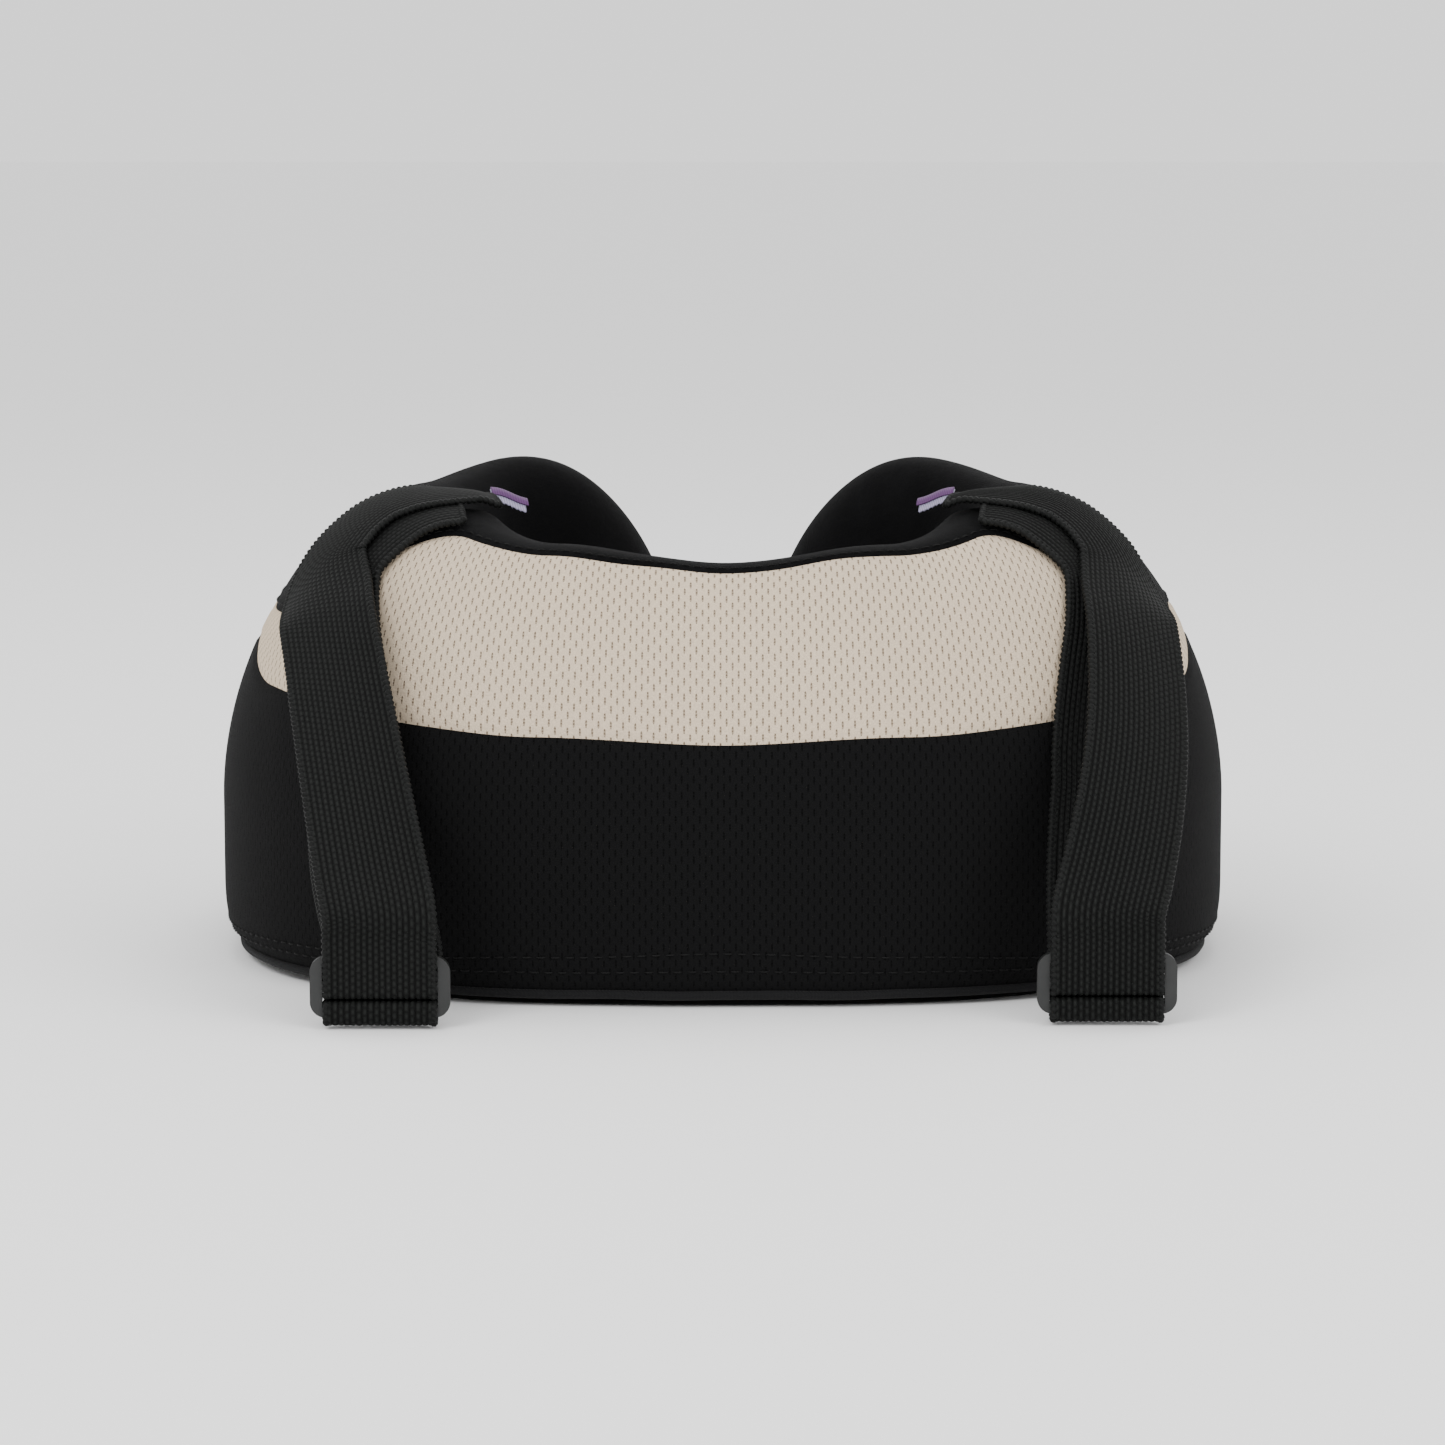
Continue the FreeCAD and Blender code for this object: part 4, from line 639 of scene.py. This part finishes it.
def panel_columns():
    """Distances along the U, close together at the horn ends, where the sections shrink."""
    body = ARM - TIP_LENGTH
    straight = np.linspace(0, body, int(body / PANEL_STEP))[:-1]
    tip = body + (ARM - LAST_COLUMN - body) * np.sin(np.linspace(0, math.pi / 2, TIP_COLUMNS))
    half = np.concatenate([straight, tip])
    return np.concatenate([-half[:0:-1], half])


# the control panel's front: its middle, its turn in plan, and its own width, forward and up directions
POD_CENTRE = (82.0, 141.2, 60.0)
POD_TURN = math.radians(-23)
POD_AXES = ((math.cos(POD_TURN), math.sin(POD_TURN), 0),
            (-math.sin(POD_TURN), math.cos(POD_TURN), 0),
            (0, 0, 1))


def pod_halves():
    """Half sizes of the control panel's front along its own width and height."""
    low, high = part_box("control_bezel")
    wide, tall = (high[0] - low[0]) / MM / math.cos(POD_TURN), (high[2] - low[2]) / MM
    return wide / 2 - 1.6, tall / 2 - 1.4


OPENING_DEPTH, RIM_DEPTH = 16, 30        # how far either side of the panel's front they reach
POD_HALF_W, POD_HALF_T = pod_halves()
POD_OPENING = (POD_CENTRE, POD_AXES, (POD_HALF_W, OPENING_DEPTH, POD_HALF_T))


def settled_on_pod(points):
    """Draws the cover round the control panel onto its rim, with a soft fall-off beyond it."""
    across, forward, up = ((points - np.array(POD_CENTRE)) @ np.array(axis) for axis in POD_AXES)
    beyond = np.hypot(np.maximum(np.abs(across) - POD_HALF_W, 0), np.maximum(np.abs(up) - POD_HALF_T, 0))
    share = np.clip(1 - (beyond - RIM_FLAT) / RIM_FALL, 0, 1)
    share = share * share * (3 - 2 * share) * (np.abs(forward) < RIM_DEPTH)
    return points + ((RIM_PROUD - forward) * share)[..., None] * np.array(POD_AXES[1])


def skin(distances, angles, from_edge):
    """The cover's outside at a grid of places: swollen between seams, with puckers beside them."""
    points = cushion_point(distances, angles)
    normals = outward(distances, angles)
    lift = swelling(points, from_edge) - INSET
    along = np.broadcast_to(distances, points.shape[:-1])
    lift = lift + PUCKER * ripple(along / 4.2, from_edge / 14, 3) * np.exp(-from_edge / 11)
    lift = lift + WAVE * ripple(along / 17.0, from_edge / 16, 8) * (1 - np.exp(-from_edge / 12))
    lift = lift - SEAM_DIP * np.exp(-(from_edge / 1.4) ** 2)
    inner_wall = (points[..., 1] < NAPE_Y) & (normals[..., 1] > 0)
    for x, z in BALLS:
        near = (points[..., 0] - x) ** 2 + (points[..., 2] - z) ** 2
        lift = lift + np.where(inner_wall, BALL_BULGE * np.exp(-near / (2 * BALL_SPREAD ** 2)), 0)
    fade = np.clip((ARM - np.abs(along)) / 8, 0, 1)
    placed = points + normals * (lift * fade)[..., None]
    placed = settled_on_pod(placed)
    placed[..., 2] = np.maximum(placed[..., 2], 0.3)
    return placed


def drawn_together(points, distances):
    """Adds a row at each horn tip, where every line of the panel meets."""
    tips = cushion_point(distances[[0, -1]][:, None], np.linspace(0, 360, 24)).mean(1)
    first, last = (np.broadcast_to(tip, (1, points.shape[1], 3)) for tip in tips)
    return np.concatenate([first, points, last])


def panel(name, low, high, rows, slot, nodes):
    """A cover panel between two seam angles, each a function of distance."""
    distances = panel_columns()
    shares = np.linspace(0, 1, rows)
    low_angles, high_angles = low(distances), high(distances)
    angles = low_angles[:, None] + (high_angles - low_angles)[:, None] * shares
    across = distances[:, None] + 0 * angles
    flat = cushion_point(across, angles)
    steps = np.linalg.norm(np.diff(flat, axis=1), axis=-1)
    around = np.concatenate([np.zeros((len(distances), 1)), np.cumsum(steps, axis=1)], axis=1)
    from_edge = np.minimum(around, around[:, -1:] - around)
    points = skin(across, angles, from_edge)
    reach = lengths_along(flat[:, rows // 2])
    uvs = np.stack([np.broadcast_to(reach[:, None], around.shape), around - around[:, :1]], -1) * MM
    points = drawn_together(points, distances)
    uvs = np.concatenate([uvs[:1], uvs, uvs[-1:]])
    piece = mesh_object(name, points, grid_faces(len(points), rows), uvs, MATERIALS[slot])
    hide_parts(*nodes)
    return piece


def constant(value):
    """A seam that keeps one angle."""
    return lambda distances: np.full(len(distances), float(value))


def seam(table):
    """A seam whose angle is eased between a table's entries."""
    return lambda distances: eased(table, distances)


BOX_REACH = 120.0        # a box without an end in some direction still ends this far from its centre


def split_by_box(piece, centre, axes, halves, keep_inside):
    """Cuts a mesh along the sides of a box and drops the faces outside it, or those inside it."""
    form = bmesh.new()
    form.from_mesh(piece.data)
    centre = Vector(centre) * MM
    for axis, half in zip(axes, halves):
        if half is None:
            continue
        for sign in (-1, 1):
            spot = centre + Vector(axis) * (sign * half * MM)
            bmesh.ops.bisect_plane(form, geom=form.verts[:] + form.edges[:] + form.faces[:],
                                   plane_co=spot, plane_no=Vector(axis), dist=1e-6)
    doomed = []
    for face in form.faces:
        reach = face.calc_center_median() - centre
        inside = all(half is None or abs(reach.dot(Vector(axis))) < half * MM
                     for axis, half in zip(axes, halves))
        if (inside and reach.length < BOX_REACH * MM) != keep_inside:
            doomed.append(face)
    bmesh.ops.delete(form, geom=doomed, context="FACES")
    form.to_mesh(piece.data)
    form.free()


PLAIN_AXES = ((1, 0, 0), (0, 1, 0), (0, 0, 1))
WINDOW = ((0, -47.5, 68.5), PLAIN_AXES, (56, 27.5, 30.5))

top = panel("cushion_top", seam(TOP_SEAM), constant(180 - BASE_ANGLE), 128, "velour", ["cover_top_panel"])
window = bpy.data.objects.new("neck_window", top.data.copy())
bpy.context.scene.collection.objects.link(window)
window.data.materials[0] = MATERIALS["mesh_black"]
split_by_box(top, *WINDOW, keep_inside=False)
split_by_box(window, *WINDOW, keep_inside=True)
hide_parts("cover_neck_window")
upper_back = panel("cushion_upper_back", seam(MID_SEAM), seam(TOP_SEAM), 56, "mesh_beige",
                   ["cover_upper_back_panel"])
lower_back = panel("cushion_lower_back", constant(BASE_ANGLE), seam(MID_SEAM), 56, "mesh_black",
                   ["cover_lower_back_panel"])
for piece in (upper_back, lower_back):
    split_by_box(piece, *POD_OPENING, keep_inside=False)


def base_panel():
    """Flat bottom of the cover, with the opening for the zip."""
    distances = panel_columns()
    outer = cushion_point(distances, BASE_ANGLE)
    inner = cushion_point(distances, 180 - BASE_ANGLE)
    rows = 24
    shares = np.linspace(0, 1, rows)[None, :, None]
    points = outer[:, None] + (inner - outer)[:, None] * shares
    wave = ripple(points[..., 0] / 15, points[..., 1] / 15, 5)
    points[..., 2] = np.maximum(points[..., 2], 0.1) + 0.25 + 0.25 * wave
    points[:, (0, -1), 2] = np.stack([outer[:, 2], inner[:, 2]], -1) + 0.3
    points = drawn_together(points, distances)
    piece = mesh_object("cushion_base", points, grid_faces(len(points), rows), None, MATERIALS["base_fabric"])
    low, high = (np.array(corner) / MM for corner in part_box("zip_chain"))
    centre, halves = (low + high) / 2, (high - low) / 2
    opening = (halves[0] + 0.2, halves[1] + 0.2, None)
    split_by_box(piece, (centre[0], centre[1], 1.0), PLAIN_AXES, opening, keep_inside=False)
    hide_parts("cover_base_panel")
    return piece


base = base_panel()


def on_skin(distances, angles, edge_angles, stand_off):
    """Points a little above the swollen cover, and the directions out of it there."""
    flat, edge = cushion_point(distances, angles), cushion_point(distances, edge_angles)
    from_edge = np.linalg.norm(flat - edge, axis=-1)
    normals = outward(distances, angles)
    return skin(distances, angles, from_edge) + normals * stand_off, normals


def piping_cord():
    """Round cord sewn along the lower edge of the cover."""
    distances = np.linspace(-ARM + 6, ARM - 6, 500)
    angles = np.full(len(distances), PIPING_ANGLE)
    line, _ = on_skin(distances, angles, np.full(len(distances), BASE_ANGLE), 0.8)
    line[:, 2] = np.maximum(line[:, 2], 1.4)
    cord = tube(resampled(line, 1.6), 1.35, 10)
    piece = mesh_object("base_piping_cord", *cord, material=MATERIALS["piping"])
    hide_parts("base_piping")
    return piece


piping = piping_cord()


def thread_run(name, angle_table, edge_table, rise, length, gap, radius):
    """A line of stitches a set way above a seam, measured round the section in millimetres."""
    distances = np.linspace(-(ARM - 8), ARM - 8, 900)
    angles = angle_table(distances)
    one_degree = cushion_point(distances, angles + 0.5) - cushion_point(distances, angles - 0.5)
    angles = angles + rise / np.maximum(np.linalg.norm(one_degree, axis=-1), 0.2)
    points, normals = on_skin(distances, angles, edge_table(distances), 0.05)
    stitches = stitch_line(points, normals, length, gap, radius)
    return mesh_object(name, *stitches, material=THREAD_BLACK)


stitching = [thread_run("top_seam_stitches", seam(TOP_SEAM), seam(TOP_SEAM), 2.2, 2.6, 1.0, 0.2)]
for place, rise in (("low", 7.0), ("high", 10.0)):
    stitching.append(thread_run(f"hem_stitches_{place}", constant(PIPING_ANGLE), constant(BASE_ANGLE),
                                rise, 2.8, 1.4, 0.24))


def window_binding():
    """Narrow roll of fabric round the neck window's edge."""
    form = bmesh.new()
    form.from_mesh(window.data)
    rim = [e for e in form.edges if e.is_boundary]
    steps = {}
    for edge in rim:
        a, b = edge.verts
        steps.setdefault(a, []).append(b)
        steps.setdefault(b, []).append(a)
    start = min(steps, key=lambda v: (v.co.x + v.co.z))
    path, seen, here = [], set(), start
    while here is not None:
        path.append(here.co.copy())
        seen.add(here)
        onward = [v for v in steps[here] if v not in seen]
        here = onward[0] if onward else None
    form.free()
    line = np.array(path + path[:1]) / MM
    line = resampled(line, 2.0)
    return mesh_object("neck_window_binding", *tube(line, 1.1, 8), material=MATERIALS["velour"])


binding = window_binding()


# ---------------------------------------------------------------- zip
TOOTH_PITCH = 1.7


def zip_teeth():
    """The zip's two tapes, and its teeth, which mesh from both sides."""
    low, high = (np.array(corner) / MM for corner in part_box("zip_chain"))
    middle = (low[1] + high[1]) / 2
    parts = []
    for side_sign in (-1, 1):
        tape = [(x, middle + side_sign * y, z) for x in np.linspace(low[0], high[0], 60)
                for y, z in ((0.5, 1.35), (1.6, 1.5), (2.8, 1.4))]
        parts.append((np.array(tape), grid_faces(60, 3)))
        for x in np.arange(low[0] + 1, high[0] - 1, TOOTH_PITCH):
            at = x + (TOOTH_PITCH / 2 if side_sign > 0 else 0)
            line = [(at, middle + side_sign * 1.5, 1.45), (at, middle + side_sign * 0.6, 1.2),
                    (at, middle - side_sign * 0.35, 1.25)]
            parts.append(tube(np.array(line), [0.42, 0.5, 0.5], 6))
    piece = mesh_object("zip_coil", *merged(parts), material=MATERIALS["zip"])
    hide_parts("zip_chain")
    return piece


coil = zip_teeth()

# ---------------------------------------------------------------- straps
WIDTH, THICK = 32.0, 1.6
RIB_RISE = 0.28
EDGE_ROOM = 1.2          # width of webbing that the overlocked edges cover
RIBS = 18
STRAP_SIDES = {
    # side: (mirror, how far the loop's foot stands out in x, and in y behind the centre, outward bow)
    "left": (-1, 97.5, 146.5, 0.0),
    "right": (1, 110.0, 140.5, 5.5),
}
# places on the cushion, right side: distance along the arm, angle round the section, stand-off
OUTER_TOP = [(91, 101, 3.3), (98, 95, 3.5), (105, 89, 3.6), (113, 80, 3.7), (117, 71, 3.9), (117, 61, 4.1)]
OUTER_HINGE = (114, 52, 4.5)
INNER_TOP = [(89, 87, 1.2), (96, 81, 1.2), (103, 73, 1.2), (107.5, 63, 1.2), (109, 55, 1.4)]
INNER_HINGE = (107, 48, 1.6)
INNER_BACK = [(102, 39, 1.9), (97, 30, 2.2), (93, 20, 3.0), (90.5, 10, 5.0)]
# share of the way down to the glide, and the direction of the webbing's width in plan
FRONT_RUN = [(0.13, 42), (0.30, 34), (0.50, 27), (0.70, 19), (0.87, 9)]
FRONT_RUN_BOW = 0.72
DRAPE = 0.0075           # curl across webbing that lies on the cushion
SMOOTHING = 14           # steps from one row to the next
# y and z through the glide: down in front, a tuck into the lower slot, round the last bar
FOOT_STEPS = [(-4.2, 34.0), (-3.0, 26.0), (-2.6, 20.5), (-2.5, 17.0), (-2.45, 13.8), (-2.45, 11.6),
              (-2.3, 10.3), (-1.9, 9.75), (-1.2, 9.55), (0, 9.6), (1.2, 9.55), (2.1, 9.2), (2.35, 8.5),
              (2.1, 7.8), (1.2, 7.45), (0, 7.4), (-1.2, 7.45), (-1.95, 7.2), (-2.35, 6.6), (-2.45, 5.2),
              (-2.3, 3.2), (-1.1, 1.9), (0.3, 1.85), (1.7, 2.2), (3.2, 3.9), (5.6, 8.5), (8.8, 15.0),
              (13.6, 23.0)]


def laid(stations):
    """Rows of (centre, width direction, curl) for webbing that lies on the cushion, right side."""
    places = [cushion_point(d, a, s) for d, a, s in stations]
    rows = []
    for i, (d, a, _) in enumerate(stations):
        ahead = places[min(i + 1, len(places) - 1)] - places[max(i - 1, 0)]
        rows.append(np.concatenate([places[i], unit(np.cross(outward(d, a), ahead)), [DRAPE]]))
    return rows


def front_run(start, end, bow):
    """Free webbing between the shoulder and the glide, bowed away from the cushion."""
    rows = []
    for share, plan_angle in FRONT_RUN:
        turn = math.radians(plan_angle)
        place = [start[0] + (end[0] - start[0]) * share + bow * math.sin(math.pi * share),
                 start[1] + (end[1] - start[1]) * share ** FRONT_RUN_BOW,
                 start[2] + (end[2] - start[2]) * share]
        rows.append(np.array(place + [math.cos(turn), math.sin(turn), 0, 0]))
    return rows


def smooth_rows(rows, per=SMOOTHING):
    """Catmull-Rom through the rows."""
    rows = np.array(rows)
    padded_rows = np.concatenate([rows[:1], rows, rows[-1:]])
    out = []
    for i in range(len(rows) - 1):
        before, a, b, after = padded_rows[i:i + 4]
        for j in range(per if i < len(rows) - 2 else per + 1):
            u = j / per
            out.append((before * (-u + 2 * u ** 2 - u ** 3) + a * (2 - 5 * u ** 2 + 3 * u ** 3)
                        + b * (u + 4 * u ** 2 - 3 * u ** 3) + after * (-u ** 2 + u ** 3)) / 2)
    return np.array(out)


def strap_line(side):
    """Centres, width and face directions, curl and reach of a strap's whole run."""
    mirror, foot_x, foot_y, bow = STRAP_SIDES[side]
    outer = laid(OUTER_TOP + [OUTER_HINGE])
    inner = laid(INNER_TOP + [INNER_HINGE] + INNER_BACK)
    foot = [np.array([foot_x, y - foot_y, z, 1, 0, 0, 0]) for y, z in FOOT_STEPS]
    run = front_run(outer[-1][:3], foot[0][:3], bow)
    flip = np.array([1, 1, 1, 1, 1, 1, -1])
    rows = smooth_rows(outer + run + foot + [row * flip for row in reversed(inner)])
    centres, curl = rows[:, :3], rows[:, 6]
    ahead = unit(np.gradient(centres, axis=0))
    across = rows[:, 3:6]
    across = unit(across - ahead * np.sum(ahead * across, axis=1, keepdims=True))
    face = np.cross(ahead, across)
    return centres, across, face, curl, lengths_along(centres)


def ribbon(line, mirror):
    """Ribbed webbing as points, faces and UVs."""
    centres, across, face, curl, reach = line
    per_rib = 4
    shares = np.linspace(-0.5, 0.5, RIBS * per_rib + 1)
    ribs = np.abs(np.sin(np.pi * RIBS * (shares + 0.5)))
    half = 0.5 * THICK - RIB_RISE + RIB_RISE * ribs
    outline = np.concatenate([np.stack([shares, half], -1), np.stack([shares[::-1], -half[::-1]], -1)])
    reach_across = outline[:, 0] * (WIDTH - EDGE_ROOM)
    points = (centres[:, None] + across[:, None] * reach_across[None, :, None]
              + face[:, None] * (outline[None, :, 1] - curl[:, None] * reach_across[None] ** 2)[..., None])
    count = len(outline)
    faces = grid_faces(len(centres), count, closed=True)
    last = (len(centres) - 1) * count
    for j in range(len(shares) - 1):
        k = count - 1 - j
        faces.append((j + 1, j, k, k - 1))
        faces.append((last + j, last + j + 1, last + k - 1, last + k))
    uvs = np.stack([np.broadcast_to(reach_across + WIDTH, points.shape[:2]) * WIDTH / (WIDTH - EDGE_ROOM),
                    np.broadcast_to(reach[:, None], points.shape[:2])], -1) * MM
    points = points * np.array([mirror, 1, 1])
    return points.reshape(-1, 3), faces, uvs.reshape(-1, 2)


def overlocked(points, radius=0.95, pitch=1.75, bulge=0.5):
    """A corded edge: a tube whose thread loops swell once in every pitch."""
    fine = resampled(points, pitch / 5)
    places = np.arange(len(fine)) * pitch / 5
    return tube(fine, radius + bulge * np.abs(np.sin(np.pi * places / pitch)) - bulge / 2, 8)


def strap(side):
    """A strap's webbing and the overlocked cord round its edges and ends."""
    mirror = STRAP_SIDES[side][0]
    line = strap_line(side)
    centres, across, face, curl, _ = line
    points, faces, uvs = ribbon(line, mirror)
    webbing = mesh_object(f"strap_webbing_{side}", points, faces, uvs, MATERIALS["webbing"])
    edges = []
    rim = WIDTH / 2 - 0.7
    for sign in (-1, 1):
        edge = centres + across * (sign * rim) - face * (curl * rim ** 2)[:, None]
        edges.append(overlocked(edge * np.array([mirror, 1, 1])))
    for end in (0, -1):
        reach = np.linspace(-rim, rim, 24)[:, None]
        bar = centres[end] + across[end] * reach - face[end] * curl[end] * reach ** 2
        edges.append(overlocked(bar * np.array([mirror, 1, 1]), 1.05))
    cords = mesh_object(f"strap_edging_{side}", *merged(edges), material=EDGE_CORD)
    nodes = [f"strap_{part}_{side}" for part in ("sewn_end", "seam_end", "loop")]
    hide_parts(*nodes)
    return webbing, cords


LABELS = [
    # name, start and end across it, length, level, depth of its teeth, material
    ("upper", -2.4, 0.5, 11.8, 0.35, 0.3, LABEL_UPPER),
    ("under", -2.2, 2.6, 11.0, -0.35, 1.4, LABEL_UNDER),
]
LABEL_ROWS, LABEL_POINTS = 28, 14


def fold_label(side):
    """Small folded label beside the strap's sewn end: a plain upper cloth over a paler one cut in teeth."""
    mirror = STRAP_SIDES[side][0]
    centres, across, _, _, _ = strap_line(side)
    inwards = unit(centres[0] - centres[SMOOTHING])
    near = across[0] if across[0][1] < 0 else -across[0]
    hang = unit(near * 0.74 + np.array([0, 0, -0.67]))
    over = np.cross(inwards, hang)
    over = over if over[2] > 0 else -over
    made = []
    for name, start, end, length, level, teeth, material in LABELS:
        points = []
        for reach in np.linspace(0.2, length, LABEL_ROWS):
            for share in np.linspace(0, 1, LABEL_POINTS):
                tooth = teeth * abs(((reach / 1.3) % 1) - 0.5) * share ** 6
                slump = -0.9 * (reach / length) ** 2 + 0.3 * math.sin(reach * 0.5)
                place = (centres[0] + inwards * reach + hang * (start + (end - start) * share + tooth)
                         + over * (level + 0.3 * math.sin(share * 3.0)) + np.array([0, 0, 0.8 + slump]))
                points.append(place * np.array([mirror, 1, 1]))
        faces = grid_faces(LABEL_ROWS, LABEL_POINTS)
        piece = mesh_object(f"strap_label_{name}_{side}", np.array(points), faces, None, material)
        thick = piece.modifiers.new("thickness", "SOLIDIFY")
        thick.thickness = 0.4 * MM
        thick.offset = 0
        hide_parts(f"strap_tag_{side}")
        made.append(piece)
    return made


labels = [piece for side in SIDES for piece in fold_label(side)]
for side in SIDES:
    webbing, cords = strap(side)
    for piece in (webbing, cords):
        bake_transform(piece)
    soft_edge = frame["nodes"][f"strap_glide_{side}"].modifiers.new("soft_edge", "BEVEL")
    soft_edge.width = 0.7 * MM
    soft_edge.segments = 3
    soft_edge.limit_method = "ANGLE"
    soft_edge.harden_normals = False

# ---------------------------------------------------------------- printed marks on the buttons
MARK_WIDTH = 0.16
BUTTON_RISE = 1.2
POD_ACROSS, POD_FORWARD, POD_UP = (np.array(axis, float) for axis in POD_AXES)


def ring_mark(centre, radius, start, end):
    """A printed arc on a button's front."""
    turn = np.radians(np.linspace(start, end, 32))[:, None]
    line = centre + (POD_ACROSS * np.cos(turn) + POD_UP * np.sin(turn)) * radius
    return tube(line, MARK_WIDTH, 6)


def bar_mark(centre, half):
    """A printed line on a button's front, half of it given as a vector."""
    return tube(np.array([centre - half, centre + half]), MARK_WIDTH, 6)


def button_marks():
    """A small sign on each button: power, mode and direction."""
    for kind in ("power", "mode", "direction"):
        low, high = (np.array(corner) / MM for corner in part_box(f"button_{kind}"))
        middle = (low + high) / 2
        # the button's front face, along the panel's own forward direction
        depth = np.dot(POD_CENTRE, POD_FORWARD) + BUTTON_RISE
        centre = middle + POD_FORWARD * (depth - np.dot(middle, POD_FORWARD))
        if kind == "power":
            marks = [ring_mark(centre, 1.7, 120, 420), bar_mark(centre + POD_UP * 1.3, POD_UP * 0.9)]
        elif kind == "mode":
            marks = [bar_mark(centre + POD_UP * rise, POD_ACROSS * 1.3) for rise in (-0.9, 0, 0.9)]
        else:
            marks = [ring_mark(centre, 1.6, start, start + 140) for start in (20, 200)]
        piece = mesh_object(f"button_mark_{kind}", *merged(marks), material=PRINT_WHITE)
        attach(piece, f"button_{kind}_body")


button_marks()

# ---------------------------------------------------------------- everything that stays with the cushion
for piece in [top, window, upper_back, lower_back, base, piping, binding, coil] + stitching + labels:
    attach(piece, "cushion")

# ---------------------------------------------------------------- floor, light and camera
FLOOR_HALF = 60.0        # metres
CORNERS = [(-1, -1), (1, -1), (1, 1), (-1, 1)]
floor_mesh = bpy.data.meshes.new("floor")
floor_mesh.from_pydata([(x * FLOOR_HALF, y * FLOOR_HALF, 0) for x, y in CORNERS], [], [(0, 1, 2, 3)])
floor = bpy.data.objects.new("floor", floor_mesh)
bpy.context.scene.collection.objects.link(floor)
paper = Nodes("floor_paper", roughness=0.9, Specular_IOR_Level=0.1)
paper_tone = paper.mix(paper.noise(paper.coordinates(), 3.0), (0.94, 0.94, 0.94), (0.95, 0.95, 0.95))
floor_mesh.materials.append(paper.finish(paper_tone))

world = bpy.data.worlds.new("studio")
world.use_nodes = True
world.node_tree.nodes["Background"].inputs["Color"].default_value = (1, 1, 1, 1)
world.node_tree.nodes["Background"].inputs["Strength"].default_value = 1.35
bpy.context.scene.world = world
TARGET = Vector((0, 0.016, 0.068))
CAMERA_PLACE = (0.0, -1.4728, 0.2508)


def softbox(name, place, power, size):
    light = bpy.data.lights.new(name, "AREA")
    light.energy = power
    light.size = size
    lamp = bpy.data.objects.new(name, light)
    lamp.location = place
    lamp.rotation_euler = (TARGET - Vector(place)).to_track_quat("-Z", "Y").to_euler()
    bpy.context.scene.collection.objects.link(lamp)


softbox("key_softbox", (-0.9, -1.5, 1.5), 22, 0.9)
softbox("fill_softbox", (1.2, -1.4, 0.9), 14, 1.1)
softbox("top_softbox", (0.0, 0.5, 1.8), 10, 1.2)

camera = bpy.data.cameras.new("camera")
camera.sensor_width = 36.0
camera.lens = 117.7
eye = bpy.data.objects.new("camera", camera)
eye.location = CAMERA_PLACE
eye.rotation_euler = (TARGET - eye.location).to_track_quat("-Z", "Y").to_euler()
bpy.context.scene.collection.objects.link(eye)
bpy.context.scene.camera = eye
